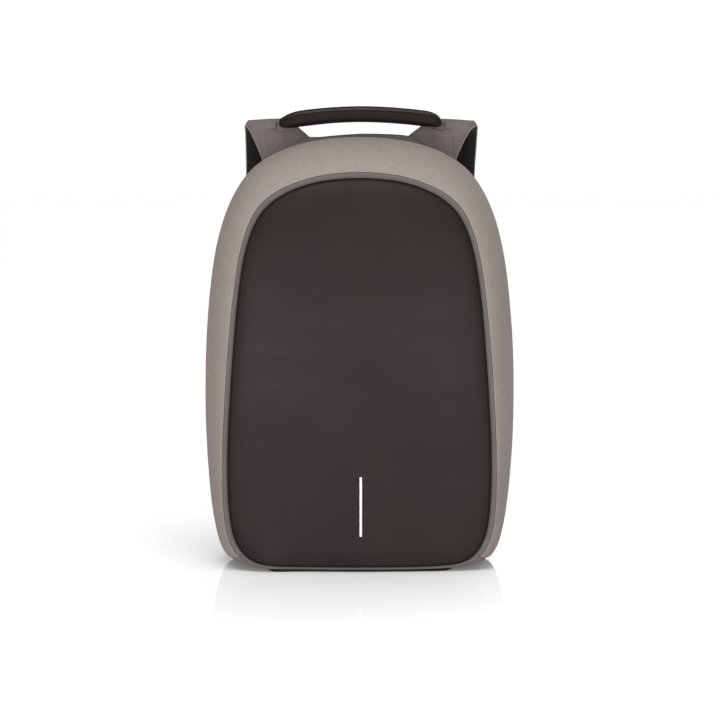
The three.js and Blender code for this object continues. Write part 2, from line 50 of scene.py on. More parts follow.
# station rows: front panel's edge, rim's crest, widest section of the shell (x, z), bottom centre to crown
OUTLINE = [
    ((0, 3.8), (0, 2.2), (0, 1.5)),
    ((48, 3.8), (48, 2.2), (54, 1.5)),
    ((84, 5.2), (86, 3.0), (94, 1.6)),
    ((100.6, 9.2), (104.2, 5.9), (114, 2.2)),
    ((110.4, 16.4), (114.6, 12.9), (125.5, 4.2)),
    ((116.2, 26.0), (121.2, 23.0), (133, 12.6)),
    ((120.2, 38), (125.8, 36.5), (138.3, 28)),
    ((123.6, 66), (129.2, 65), (143.8, 60)),
    ((123.8, 116), (129.2, 115), (148, 112)),
    ((121.3, 164), (126.8, 163), (149, 160)),
    ((118, 210), (123.7, 210), (148.2, 208)),
    ((114, 256), (119.2, 257), (144.8, 256)),
    ((107.3, 301), (112.5, 303), (138.5, 302)),
    ((95.3, 333), (100, 337.5), (126.5, 343)),
    ((79, 349.5), (82.5, 355), (107.5, 374.5)),
    ((61.5, 358.8), (64, 364.5), (84, 391.5)),
    ((43, 365), (44.5, 371), (58.5, 401.5)),
    ((22, 368.3), (22.5, 374.8), (30, 407)),
    ((0, 369.3), (0, 375.8), (0, 408.5)),
]
LAST = len(OUTLINE) - 1
AROUND = 2 * LAST
SEAM_STATION = 4.0
SEAM_GAP = 0.022


# ------------------------------------------------------------------ small maths
def catmull(points, t_per, closed=False):
    """Samples of a uniform Catmull-Rom curve, t_per to a span. An open curve keeps its last point."""
    p = np.asarray(points, float)
    n = len(p)
    t = (np.arange(t_per) / t_per)[:, None]
    out = []
    for i in range(n if closed else n - 1):
        if closed:
            a, b, c, d = p[i - 1], p[i], p[(i + 1) % n], p[(i + 2) % n]
        else:
            b, c = p[i], p[i + 1]
            a = p[i - 1] if i > 0 else 2 * b - c
            d = p[i + 2] if i + 2 < n else 2 * c - b
        out.append(0.5 * (2 * b + (c - a) * t + (2 * a - 5 * b + 4 * c - d) * t**2 + (3 * b - a - 3 * c + d) * t**3))
    out = np.concatenate(out)
    return out if closed else np.vstack([out, p[-1]])


def centripetal(points, per):
    p = np.asarray(points, float)
    ext = np.vstack([2 * p[0] - p[1], p, 2 * p[-1] - p[-2]])
    out = []
    for i in range(1, len(ext) - 2):
        p0, p1, p2, p3 = ext[i - 1 : i + 3]
        t0 = 0.0
        t1 = t0 + np.linalg.norm(p1 - p0) ** 0.5
        t2 = t1 + np.linalg.norm(p2 - p1) ** 0.5
        t3 = t2 + np.linalg.norm(p3 - p2) ** 0.5
        for t in np.linspace(t1, t2, per, endpoint=False):
            a1 = (t1 - t) / (t1 - t0) * p0 + (t - t0) / (t1 - t0) * p1
            a2 = (t2 - t) / (t2 - t1) * p1 + (t - t1) / (t2 - t1) * p2
            a3 = (t3 - t) / (t3 - t2) * p2 + (t - t2) / (t3 - t2) * p3
            b1 = (t2 - t) / (t2 - t0) * a1 + (t - t0) / (t2 - t0) * a2
            b2 = (t3 - t) / (t3 - t1) * a2 + (t - t1) / (t3 - t1) * a3
            out.append((t2 - t) / (t2 - t1) * b1 + (t - t1) / (t2 - t1) * b2)
    out.append(p[-1])
    return np.array(out)


def soften(values, sigma, closed=True):
    """Gaussian smoothing along the first axis."""
    r = int(max(2, round(sigma * 3)))
    k = np.exp(-0.5 * (np.arange(-r, r + 1) / sigma) ** 2)
    k /= k.sum()
    v = np.asarray(values, float)
    padded = np.concatenate([v[-r:], v, v[:r]]) if closed else np.concatenate([np.repeat(v[:1], r, 0), v, np.repeat(v[-1:], r, 0)])
    return sum(w * padded[i : i + len(v)] for i, w in enumerate(k))


def unit(v):
    return v / np.maximum(np.linalg.norm(v, axis=-1, keepdims=True), 1e-12)


def smooth01(t):
    t = np.clip(t, 0, 1)
    return t * t * (3 - 2 * t)


DEPTH_FIT = np.polyfit(DEPTH_Z, DEPTH_Y, 6)


def front_y(x, z):
    x, z = np.asarray(x, float), np.asarray(z, float)
    foot = 7.0 * np.exp(-(((x + 88) / 24.0) ** 2)) * np.exp(-np.maximum(z, 0) / 22.0)  # the left foot bulges a little
    return -(np.polyval(DEPTH_FIT, z) - FRONT_CROWN * (x / 130.0) ** 2) - foot


def closed_outline(k):
    right = [row[k] for row in OUTLINE]
    left = [(-x, z) for x, z in right[1:-1]][::-1]
    return soften(catmull(right + left, PER, closed=True), PER * 0.30)


PANEL, RIM, SHELL = (closed_outline(k) for k in range(3))
COUNT = len(PANEL)


def at(outline, station):
    """Points of an outline at stations (an array)."""
    f = (np.asarray(station, float) % AROUND) * PER
    i = np.floor(f).astype(int)
    t = (f - i)[..., None]
    return outline[i % COUNT] * (1 - t) + outline[(i + 1) % COUNT] * t


def outward(outline, station):
    d = at(outline, np.asarray(station) + 0.3) - at(outline, np.asarray(station) - 0.3)
    return unit(np.stack([d[..., 1], -d[..., 0]], -1))


MID_Z, HALF_WIDE, HALF_HIGH = 205.0, 149.0, 203.5


def drawn_in(station, by):
    p = at(SHELL, station)
    return np.stack([p[..., 0] * (1 - by / HALF_WIDE), MID_Z + (p[..., 1] - MID_Z) * (1 - by / HALF_HIGH)], -1)


def xyz(p, y):
    """(x, z) points and depths y to 3D points."""
    return np.stack([p[..., 0], np.broadcast_to(y, p[..., 0].shape), p[..., 1]], -1)


RNG = np.random.default_rng(7)
_noise_grid = RNG.standard_normal((64, 64, 64))


def noise3(p, scale, seed=0):
    """Smooth value noise of points p (mm) with features about scale mm, from -1 to 1 or so."""
    q = np.asarray(p, float) / scale + 17.3 * (seed + 1)
    i = np.floor(q).astype(int)
    f = q - i
    f = f * f * (3 - 2 * f)
    total = 0
    for dx in (0, 1):
        for dy in (0, 1):
            for dz in (0, 1):
                w = (f[..., 0] if dx else 1 - f[..., 0]) * (f[..., 1] if dy else 1 - f[..., 1]) * (f[..., 2] if dz else 1 - f[..., 2])
                total = total + w * _noise_grid[(i[..., 0] + dx) % 64, (i[..., 1] + dy) % 64, (i[..., 2] + dz) % 64]
    return total * 0.6


# ------------------------------------------------------------------ mesh building
class Builder:
    """Gathers grids and fans in mm and makes one object in metres in the frame."""

    def __init__(self):
        self.v, self.f, self.uv, self.m = [], [], [], []
        self.n = 0

    def grid(self, p, wrap_i=False, wrap_j=False, u=None, v=None, mat=0, flip=False):
        p = np.asarray(p, float)
        ni, nj = p.shape[:2]
        base = self.n
        self.v.append(p.reshape(-1, 3))
        self.n += ni * nj
        ii = np.arange(ni if wrap_i else ni - 1)
        jj = np.arange(nj if wrap_j else nj - 1)
        i, j = [a.ravel() for a in np.meshgrid(ii, jj, indexing="ij")]
        i1, j1 = (i + 1) % ni, (j + 1) % nj
        quads = np.stack([i * nj + j, i1 * nj + j, i1 * nj + j1, i * nj + j1], 1) + base
        if u is None:
            du = np.linalg.norm(np.roll(p, -1, 0) - p, axis=2).mean(1)
            u = np.concatenate([[0], np.cumsum(du)])
            dv = np.linalg.norm(np.roll(p, -1, 1) - p, axis=2).mean(0)
            v = np.concatenate([[0], np.cumsum(dv)])
        uv = np.stack([np.stack([u[i], v[j]], 1), np.stack([u[i + 1], v[j]], 1), np.stack([u[i + 1], v[j + 1]], 1), np.stack([u[i], v[j + 1]], 1)], 1) * 0.001
        if flip:
            quads, uv = quads[:, ::-1], uv[:, ::-1]
        self.f += [list(q) for q in quads]
        self.uv.append(uv.reshape(-1, 2))
        mats = mat[i, j] if isinstance(mat, np.ndarray) else np.full(len(quads), mat)
        self.m.append(mats)
        return base

    def cap(self, ring, centre=None, flip=False, mat=0):
        """Closes a ring of vertex indices with a fan, or with one flat face."""
        ring = list(ring)
        if centre is None:
            self.f.append(ring[::-1] if flip else ring)
            self.uv.append(np.zeros((len(ring), 2)))
            self.m.append(np.array([mat]))
            return
        self.v.append(np.asarray(centre, float).reshape(1, 3))
        c = self.n
        self.n += 1
        for k in range(len(ring)):
            a, b = ring[k], ring[(k + 1) % len(ring)]
            self.f.append([c, b, a] if flip else [c, a, b])
        pts = np.concatenate(self.v)
        uv = []
        for k in range(len(ring)):
            tri = [c, ring[(k + 1) % len(ring)], ring[k]] if flip else [c, ring[k], ring[(k + 1) % len(ring)]]
            uv.append(pts[tri][:, [0, 2]] * 0.001)
        self.uv.append(np.concatenate(uv))
        self.m.append(np.full(len(ring), mat))

    def raw(self, verts, faces, mat=0):
        base = self.n
        self.v.append(np.asarray(verts, float))
        self.n += len(verts)
        self.f += [[i + base for i in f] for f in faces]
        self.uv.append(np.concatenate([np.asarray(verts, float)[list(f)][:, [0, 2]] * 0.001 for f in faces]))
        self.m.append(np.full(len(faces), mat))

    def make(self, name, materials, replaces=(), slot=None, smooth=True, sharp=None, closed=True):
        v = np.concatenate(self.v)
        v = np.stack([v[:, 0], v[:, 1] + SHIFT_Y, v[:, 2]], 1) * 0.001
        me = bpy.data.meshes.new(name)
        me.from_pydata(v.tolist(), [], self.f)
        layer = me.uv_layers.new(name="Cloth")
        layer.uv.foreach_set("vector", np.concatenate(self.uv).astype(np.float32).ravel())
        me.polygons.foreach_set("material_index", np.concatenate(self.m).astype(np.int32))
        me.polygons.foreach_set("use_smooth", np.full(len(me.polygons), smooth))
        for m in materials:
            me.materials.append(m)
        me.update()
        if closed:
            bm = bmesh.new()
            bm.from_mesh(me)
            bmesh.ops.recalc_face_normals(bm, faces=bm.faces)
            bm.to_mesh(me)
            bm.free()
        if sharp:
            me.set_sharp_from_angle(angle=math.radians(sharp))
        me.validate()
        ob = bpy.data.objects.new(name, me)
        bpy.context.scene.collection.objects.link(ob)
        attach(ob, "root")
        if replaces:
            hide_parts(*replaces)
        return ob


def pillow(outline, centre, y_front, y_back, radius, rings=14, crown=0.0, lift=None, back_only=None, mat=0, b=None):
    """A closed flat pad: outline is (n, 2) in (x, z), its front at y_front and its back at y_back, with rounded edges.
    lift(x, z, share) adds to the back's y."""
    b = b or Builder()
    outline = np.asarray(outline, float)
    centre = np.asarray(centre, float)
    away = outline - centre
    dist = np.linalg.norm(away, axis=1, keepdims=True)
    way = away / dist
    mid, half = (y_front + y_back) / 2, (y_back - y_front) / 2
    radius_y = half
    layers = []  # back middle, out over the edge, to the front middle
    shares = np.linspace(0, 1, rings + 1)[1:]
    for s in shares[:-1]:
        p = centre + way * (dist - radius) * s
        layers.append((p, np.full(len(p), y_back), s))
    for a in np.linspace(90, -90, 9):
        r = math.radians(a)
        p = centre + way * (dist - radius + radius * math.cos(r))
        layers.append((p, np.full(len(p), mid + radius_y * math.sin(r)), 1.0 if a < 45 else 0.999))
    for s in (0.85, 0.5):
        p = centre + way * (dist - radius) * s
        layers.append((p, np.full(len(p), y_front), -1))
    pts = []
    for k, (p, y, s) in enumerate(layers):
        if s >= 0 and k < len(shares) + 3:
            edge = np.clip((dist[:, 0] - np.linalg.norm(p - centre, axis=1)) / max(radius, 1e-6), 0, None)
            y = y + crown * (1 - s * s)
            if lift is not None:
                y = y + lift(p[:, 0], p[:, 1], edge * radius)
        pts.append(xyz(p, y))
    pts = np.stack(pts)  # (layer, around, 3)
    n = len(outline)
    q = pts
    base = b.grid(q, wrap_j=True, mat=mat)
    y_mid = y_back + crown + (float(lift(np.array([centre[0]]), np.array([centre[1]]), np.array([999.0]))[0]) if lift is not None else 0)
    b.cap([base + k for k in range(n)], centre=(centre[0], y_mid, centre[1]), mat=mat)
    top = base + (len(layers) - 1) * n
    b.cap([top + k for k in range(n)], centre=(centre[0], y_front, centre[1]), flip=True, mat=mat)
    # flat coordinates for the cloth pattern
    fix_flat_uv(b)
    return b


def fix_flat_uv(b):
    """Sets the pattern's coordinates of everything gathered so far from x and z."""
    pts = np.concatenate(b.v)
    flat = np.concatenate([np.asarray(f) for f in b.f])
    b.uv = [pts[flat][:, [0, 2]] * 0.001]


def stitches(b, path, normal, length=2.5, gap=1.0, width=0.75, height=0.55, lift=0.12, mat=0):
    """Thread along a path (n, 3) that lies on a surface with these normals (n, 3)."""
    path, normal = np.asarray(path, float), np.asarray(normal, float)
    step = np.linalg.norm(np.diff(path, axis=0), axis=1)
    s = np.concatenate([[0], np.cumsum(step)])
    count = int(s[-1] // (length + gap))
    if count < 1:
        return
    start = (s[-1] - count * (length + gap) + gap) / 2
    mids = start + length / 2 + np.arange(count) * (length + gap)
    look = lambda q, arr: np.stack([np.interp(q, s, arr[:, k]) for k in range(3)], 1)
    c = look(mids, path)
    t = unit(look(mids + 0.6, path) - look(mids - 0.6, path))
    nn = look(mids, normal)
    nn = unit(nn - (nn * t).sum(1, keepdims=True) * t)
    w = np.cross(nn, t)
    rings = [(-0.5, 0.0, -0.35), (-0.40, 0.75, -0.02), (0.0, 1.0, 0.12), (0.40, 0.75, -0.02), (0.5, 0.0, -0.35)]
    sides = 6
    verts, faces = [], []
    tmpl = []
    for along, size, up in rings:
        if size == 0:
            tmpl.append((along * length, 0.0, up))
        else:
            for k in range(sides):
                a = 2 * math.pi * k / sides
                tmpl.append((along * length, math.cos(a) * width / 2 * size, up + math.sin(a) * height / 2 * size))
    tmpl = np.array(tmpl)
    fs = []
    first, last = 0, len(tmpl) - 1
    for k in range(sides):
        k1 = (k + 1) % sides
        fs.append([first, 1 + k1, 1 + k])
        for r in range(2):
            o = 1 + r * sides
            fs.append([o + k, o + k1, o + sides + k1, o + sides + k])
        fs.append([last, 1 + 2 * sides + k, 1 + 2 * sides + k1])
    for i in range(count):
        verts.append(c[i] + nn[i] * lift + tmpl[:, :1] * t[i] + tmpl[:, 1:2] * w[i] + tmpl[:, 2:] * nn[i])
        faces += [[x + i * len(tmpl) for x in f] for f in fs]
    b.raw(np.concatenate(verts), faces, mat=mat)


# ------------------------------------------------------------------ materials
def rgb(r, g, b):
    """sRGB 0 to 255 to linear."""
    return tuple(((c / 255) / 12.92 if c <= 10 else ((c / 255 + 0.055) / 1.055) ** 2.4) for c in (r, g, b)) + (1.0,)


class Nodes:
    def __init__(self, name):
        self.mat = bpy.data.materials.new(name)
        self.mat.use_nodes = True
        self.t = self.mat.node_tree
        self.bsdf = self.t.nodes["Principled BSDF"]

    def add(self, kind, **values):
        n = self.t.nodes.new(kind)
        for k, v in values.items():
            if k in n.inputs:
                n.inputs[k].default_value = v
            else:
                setattr(n, k, v)
        return n

    def link(self, a, b):
        self.t.links.new(a, b)

    def cloth_uv(self, sx, sy, rot=0.0):
        uv = self.add("ShaderNodeUVMap", uv_map="Cloth")
        m = self.add("ShaderNodeMapping")
        m.inputs["Scale"].default_value = (sx, sy, 1)
        m.inputs["Rotation"].default_value = (0, 0, rot)
        self.link(uv.outputs["UV"], m.inputs["Vector"])
        return m.outputs["Vector"]

    def place(self, sx=1.0, sy=1.0, sz=1.0):
        tc = self.add("ShaderNodeTexCoord")
        m = self.add("ShaderNodeMapping")
        m.inputs["Scale"].default_value = (sx, sy, sz)
        self.link(tc.outputs["Object"], m.inputs["Vector"])
        return m.outputs["Vector"]

    def noise(self, vector, scale, detail=3.0, rough=0.5):
        n = self.add("ShaderNodeTexNoise")
        n.inputs["Scale"].default_value = scale
        n.inputs["Detail"].default_value = detail
        n.inputs["Roughness"].default_value = rough
        self.link(vector, n.inputs["Vector"])
        return n.outputs["Fac"]

    def math(self, op, a, b=None, clamp=False):
        n = self.add("ShaderNodeMath", operation=op, use_clamp=clamp)
        for k, x in enumerate((a, b)):
            if x is None:
                continue
            if isinstance(x, (int, float)):
                n.inputs[k].default_value = x
            else:
                self.link(x, n.inputs[k])
        return n.outputs[0]

    def remap(self, x, a, b, c, d):
        n = self.add("ShaderNodeMapRange")
        n.inputs["From Min"].default_value, n.inputs["From Max"].default_value = a, b
        n.inputs["To Min"].default_value, n.inputs["To Max"].default_value = c, d
        self.link(x, n.inputs["Value"])
        return n.outputs["Result"]

    def mix(self, fac, a, b):
        n = self.add("ShaderNodeMix", data_type="RGBA")
        if isinstance(fac, (int, float)):
            n.inputs[0].default_value = fac
        else:
            self.link(fac, n.inputs[0])
        for socket, x in ((n.inputs[6], a), (n.inputs[7], b)):
            if isinstance(x, tuple):
                socket.default_value = x
            else:
                self.link(x, socket)
        return n.outputs[2]

    def bump(self, height, strength, distance, after=None):
        n = self.add("ShaderNodeBump")
        n.inputs["Strength"].default_value = strength
        n.inputs["Distance"].default_value = distance
        self.link(height, n.inputs["Height"])
        if after is not None:
            self.link(after, n.inputs["Normal"])
        return n.outputs["Normal"]

    def wave(self, vector, scale, direction="X"):
        n = self.add("ShaderNodeTexWave", wave_type="BANDS", bands_direction=direction, wave_profile="SIN")
        n.inputs["Scale"].default_value = scale
        n.inputs["Distortion"].default_value = 0.0
        self.link(vector, n.inputs["Vector"])
        return n.outputs["Fac"]


def shade(c, k):
    return (c[0] * k, c[1] * k, c[2] * k, 1.0)


def woven(name, colour, dark, light, pitch=0.55, weave=0.5, streak=0.6, rough=(0.62, 0.8), sheen=0.25, sheen_rough=0.45, sheen_tint=(1, 0.97, 0.95, 1), specular=0.35, heather=0.5, uneven=0.5, yarns=(45, 1500), mottle=0.0):
    """Cloth: two crossed sets of yarns of this pitch (mm), long uneven yarns along u, a soft unevenness, sheen."""
    k = Nodes(name)
    uv = k.cloth_uv(1, 1)
    # Blender's wave bands repeat every 2 pi / (20 * scale) along the coordinate
    s = 2 * math.pi / 20 / (pitch * 0.001)
    warp = k.wave(uv, s, "X")
    weft = k.wave(uv, s, "Y")
    cross = k.math("MULTIPLY", warp, weft)
    yarn = k.noise(k.cloth_uv(*yarns), 1.0, 2.0, 0.6)     # long along u
    yarn2 = k.noise(k.cloth_uv(900, 70), 1.0, 2.0, 0.6)     # long along v
    soft = k.noise(k.place(), 9.0, 3.0, 0.55)
    fine = k.noise(k.place(), 900.0, 2.0, 0.6)
    a = k.remap(yarn, 0.32, 0.68, 0.0, 1.0)
    b = k.remap(yarn2, 0.32, 0.68, 0.0, 1.0)
    mixed = k.math("ADD", k.math("MULTIPLY", a, streak), k.math("MULTIPLY", b, 1 - streak))
    col = k.mix(k.math("MULTIPLY", mixed, heather, True), shade(colour, dark), shade(colour, light))
    col = k.mix(k.remap(soft, 0.3, 0.7, 0.0, uneven), col, shade(colour, (dark + light) / 2 * 0.93))
    col = k.mix(k.math("MULTIPLY", cross, 0.18), col, shade(colour, dark * 0.8))
    if mottle:
        specks = k.noise(k.cloth_uv(230, 520), 1.0, 3.0, 0.65)
        col = k.mix(k.remap(specks, 0.5, 0.72, 0.0, mottle), col, shade(colour, dark * 0.72))
    k.link(col, k.bsdf.inputs["Base Color"])
    k.link(k.remap(fine, 0.3, 0.7, rough[0], rough[1]), k.bsdf.inputs["Roughness"])
    h = k.math("ADD", cross, k.math("MULTIPLY", mixed, 0.8))
    n = k.bump(h, weave, 0.00022)
    n = k.bump(soft, 0.25, 0.0012, n)
    k.link(n, k.bsdf.inputs["Normal"])
    k.bsdf.inputs["Sheen Weight"].default_value = sheen
    k.bsdf.inputs["Sheen Roughness"].default_value = sheen_rough
    k.bsdf.inputs["Sheen Tint"].default_value = sheen_tint
    k.bsdf.inputs["Specular IOR Level"].default_value = specular
    return k.mat


def coated(name, colour, rough=(0.42, 0.5), grain=0.12, specular=0.4, sheen=0.0, spread=0.12):
    """Smooth coated cloth or moulded skin: very fine grain, faint clouding, satin."""
    k = Nodes(name)
    fine = k.noise(k.place(), 2200.0, 2.0, 0.6)
    cloud = k.noise(k.place(), 14.0, 4.0, 0.55)
    smear = k.noise(k.place(3, 3, 14), 5.0, 3.0, 0.6)
    col = k.mix(k.remap(cloud, 0.3, 0.7, 0.0, 1.0), shade(colour, 1 - spread), shade(colour, 1 + spread))
    col = k.mix(k.remap(fine, 0.35, 0.65, 0.0, 0.25), col, shade(colour, 0.75))
    k.link(col, k.bsdf.inputs["Base Color"])
    k.link(k.remap(smear, 0.3, 0.7, rough[0], rough[1]), k.bsdf.inputs["Roughness"])
    k.link(k.bump(fine, grain, 0.0001), k.bsdf.inputs["Normal"])
    k.bsdf.inputs["Specular IOR Level"].default_value = specular
    k.bsdf.inputs["Sheen Weight"].default_value = sheen
    return k.mat


def spacer_mesh(name, colour, cell=2.2):
    """Knitted spacer mesh: a close pattern of small rounded holes over foam."""
    k = Nodes(name)
    s = 1000.0 / cell
    v = k.add("ShaderNodeTexVoronoi", feature="F1", distance="EUCLIDEAN")
    v.inputs["Scale"].default_value = 1.0
    v.inputs["Randomness"].default_value = 0.12
    k.link(k.cloth_uv(s, s * 1.15, math.radians(30)), v.inputs["Vector"])
    hole = k.remap(v.outputs["Distance"], 0.16, 0.36, 1.0, 0.0)
    yarn = k.noise(k.cloth_uv(600, 2400), 1.0, 2.0, 0.5)
    cloud = k.noise(k.place(), 20.0, 3.0, 0.5)
    col = k.mix(k.remap(yarn, 0.3, 0.7, 0.0, 1.0), shade(colour, 0.8), shade(colour, 1.5))
    col = k.mix(k.remap(cloud, 0.3, 0.7, 0.0, 0.4), col, shade(colour, 1.6))
    col = k.mix(hole, col, shade(colour, 0.18))
    k.link(col, k.bsdf.inputs["Base Color"])
    k.link(k.remap(yarn, 0.3, 0.7, 0.7, 0.9), k.bsdf.inputs["Roughness"])
    h = k.math("ADD", k.math("MULTIPLY", k.math("SUBTRACT", 1.0, hole), 1.0), k.math("MULTIPLY", yarn, 0.25))
    k.link(k.bump(h, 0.7, 0.0008), k.bsdf.inputs["Normal"])
    k.bsdf.inputs["Sheen Weight"].default_value = 0.15
    k.bsdf.inputs["Specular IOR Level"].default_value = 0.14
    return k.mat


def ribbed(name, colour, rib=1.35):
    """Webbing: herringbone ribs across the band."""
    k = Nodes(name)
    s = 2 * math.pi / 20 / (rib * 0.001)
    a = k.wave(k.cloth_uv(1, 1, math.radians(35)), s, "X")
    c = k.wave(k.cloth_uv(1, 1, math.radians(-35)), s, "X")
    side = k.wave(k.cloth_uv(1, 1), 2 * math.pi / 20 / 0.0055, "Y")
    pick = k.remap(side, 0.45, 0.55, 0.0, 1.0)
    h = k.math("ADD", k.math("MULTIPLY", a, pick), k.math("MULTIPLY", c, k.math("SUBTRACT", 1.0, pick)))
    n = k.noise(k.cloth_uv(500, 1200), 1.0, 2.0, 0.5)
    col = k.mix(h, shade(colour, 0.6), shade(colour, 1.5))
    col = k.mix(k.remap(n, 0.3, 0.7, 0.0, 0.35), col, shade(colour, 2.0))
    k.link(col, k.bsdf.inputs["Base Color"])
    k.link(k.remap(n, 0.3, 0.7, 0.5, 0.7), k.bsdf.inputs["Roughness"])
    k.link(k.bump(h, 0.6, 0.0004), k.bsdf.inputs["Normal"])
    k.bsdf.inputs["Sheen Weight"].default_value = 0.2
    k.bsdf.inputs["Specular IOR Level"].default_value = 0.35
    return k.mat


def moulded(name, colour, rough=(0.38, 0.55), metallic=0.0):
    """Moulded plastic or coated metal: faint spark-eroded grain and slight handling polish."""
    k = Nodes(name)
    fine = k.noise(k.place(), 2600.0, 2.0, 0.5)
    cloud = k.noise(k.place(), 60.0, 3.0, 0.5)
    k.link(k.mix(k.remap(cloud, 0.3, 0.7, 0.0, 1.0), shade(colour, 0.85), shade(colour, 1.2)), k.bsdf.inputs["Base Color"])
    k.link(k.remap(cloud, 0.3, 0.7, rough[0], rough[1]), k.bsdf.inputs["Roughness"])
    k.link(k.bump(fine, 0.15, 0.00008), k.bsdf.inputs["Normal"])
    k.bsdf.inputs["Metallic"].default_value = metallic
    return k.mat


def brushed(name, colour):
    k = Nodes(name)
    line = k.noise(k.place(2200, 2200, 60), 1.0, 2.0, 0.6)
    k.link(k.mix(k.remap(line, 0.3, 0.7, 0.0, 1.0), shade(colour, 0.93), shade(colour, 1.04)), k.bsdf.inputs["Base Color"])
    k.link(k.remap(line, 0.3, 0.7, 0.24, 0.38), k.bsdf.inputs["Roughness"])
    k.link(k.bump(line, 0.12, 0.00005), k.bsdf.inputs["Normal"])
    k.bsdf.inputs["Metallic"].default_value = 1.0
    return k.mat


GREY = rgb(138, 129, 126)
M = {
    "shell": woven("shell_fabric", GREY, 0.88, 1.10, pitch=0.5, weave=0.35, streak=0.8, heather=1.0, uneven=0.4, sheen=0.0, specular=0.05, yarns=(110, 800), mottle=0.45),
    # the next two are darker copies of the grey for the bottom corners, painted shade under the lifted corners
    "corner_shade": woven("corner_painted_shade_fabric", shade(GREY, 0.46), 0.86, 1.12, pitch=0.5, weave=0.4, streak=0.8, heather=0.9, uneven=0.3, sheen=0.03, specular=0.12),
    "corner_low_shade": woven("corner_low_painted_shade_fabric", shade(GREY, 0.66), 0.86, 1.12, pitch=0.5, weave=0.4, streak=0.8, heather=0.9, uneven=0.3, sheen=0.03, specular=0.08),
    # the rim's inward bevel: the grey darkened, painted shade
    "bevel": woven("rim_painted_shade_fabric", shade(GREY, 0.57), 0.86, 1.12, pitch=0.5, weave=0.4, streak=0.8, heather=0.9, uneven=0.3, sheen=0.04, specular=0.12),
    # the crest groove and the low front edge: the grey darkened further, painted shade
    "seam": woven("rim_seam_painted_shade", shade(GREY, 0.42), 0.8, 1.15, pitch=0.5, weave=0.4, streak=0.8, heather=0.9, uneven=0.3, sheen=0.03, specular=0.1),
    "strap": woven("strap_fabric", shade(GREY, 0.53), 0.84, 1.16, pitch=0.55, weave=0.5, streak=0.6, heather=1.0, uneven=0.8, sheen=0.06, specular=0.12),
    "binding": woven("edge_binding", shade(GREY, 0.92), 0.85, 1.12, pitch=0.45, weave=0.5, streak=0.7, heather=0.8, sheen=0.08, specular=0.15),
    "panel": coated("panel_skin", rgb(35, 29, 28), rough=(0.46, 0.52), specular=0.13),
    "handle": coated("handle_skin", rgb(25, 19, 16), rough=(0.42, 0.55), grain=0.3, specular=0.10),
    # a lighter band along the front's upper edge, painted highlight
    "handle_roll_highlight": coated("handle_roll_painted_highlight_skin", rgb(42, 36, 34), rough=(0.42, 0.55), grain=0.3, specular=0.2),
    # the handle's top faces made darker, painted shade
    "handle_top_shade": coated("handle_top_painted_shade_skin", rgb(16, 13, 12), rough=(0.55, 0.65), grain=0.3, specular=0.08),
    "black": woven("black_fabric", rgb(34, 31, 30), 0.7, 1.5, pitch=0.6, weave=0.6, streak=0.5, heather=0.8, sheen=0.06, sheen_tint=(1, 1, 1, 1), specular=0.2),
    "lining": woven("lining_fabric", rgb(22, 19, 18), 0.75, 1.3, pitch=0.6, weave=0.5, streak=0.5, heather=0.8, sheen=0.02, sheen_tint=(1, 1, 1, 1), specular=0.12),
    "mesh": spacer_mesh("spacer_mesh", rgb(52, 50, 50)),
    "welt": coated("welt_skin", rgb(13, 11, 10), rough=(0.6, 0.7), grain=0.2, specular=0.2),
    "base": coated("base_skin_and_contact_shade", rgb(20, 18, 17), rough=(0.55, 0.7), grain=0.4, specular=0.2),
    "tape": woven("zip_tape_cloth", rgb(26, 24, 24), 0.7, 1.4, pitch=0.7, weave=0.6, streak=0.5, heather=0.7, sheen=0.03, specular=0.2),
    "coil": moulded("zip_coil_plastic", rgb(30, 29, 29), rough=(0.35, 0.5)),
    "plastic": moulded("buckle_plastic", rgb(31, 30, 30), rough=(0.4, 0.55)),
    "slider": moulded("slider_coat", rgb(38, 37, 37), rough=(0.3, 0.42), metallic=0.6),
    "web": ribbed("webbing_yarn", rgb(30, 28, 28)),
    "bar": brushed("strip_metal", (0.9, 0.9, 0.89, 1)),
    "thread_grey": woven("thread_grey", shade(GREY, 0.6), 0.9, 1.1, pitch=0.35, weave=0.5, heather=0.5, sheen=0.05),
    "thread_black": woven("thread_black", rgb(40, 38, 37), 0.8, 1.3, pitch=0.35, weave=0.5, heather=0.5, sheen=0.05),
}

# ------------------------------------------------------------------ shell and base
GROOVE_DEPTH = 5.6
FOAM = 4.0


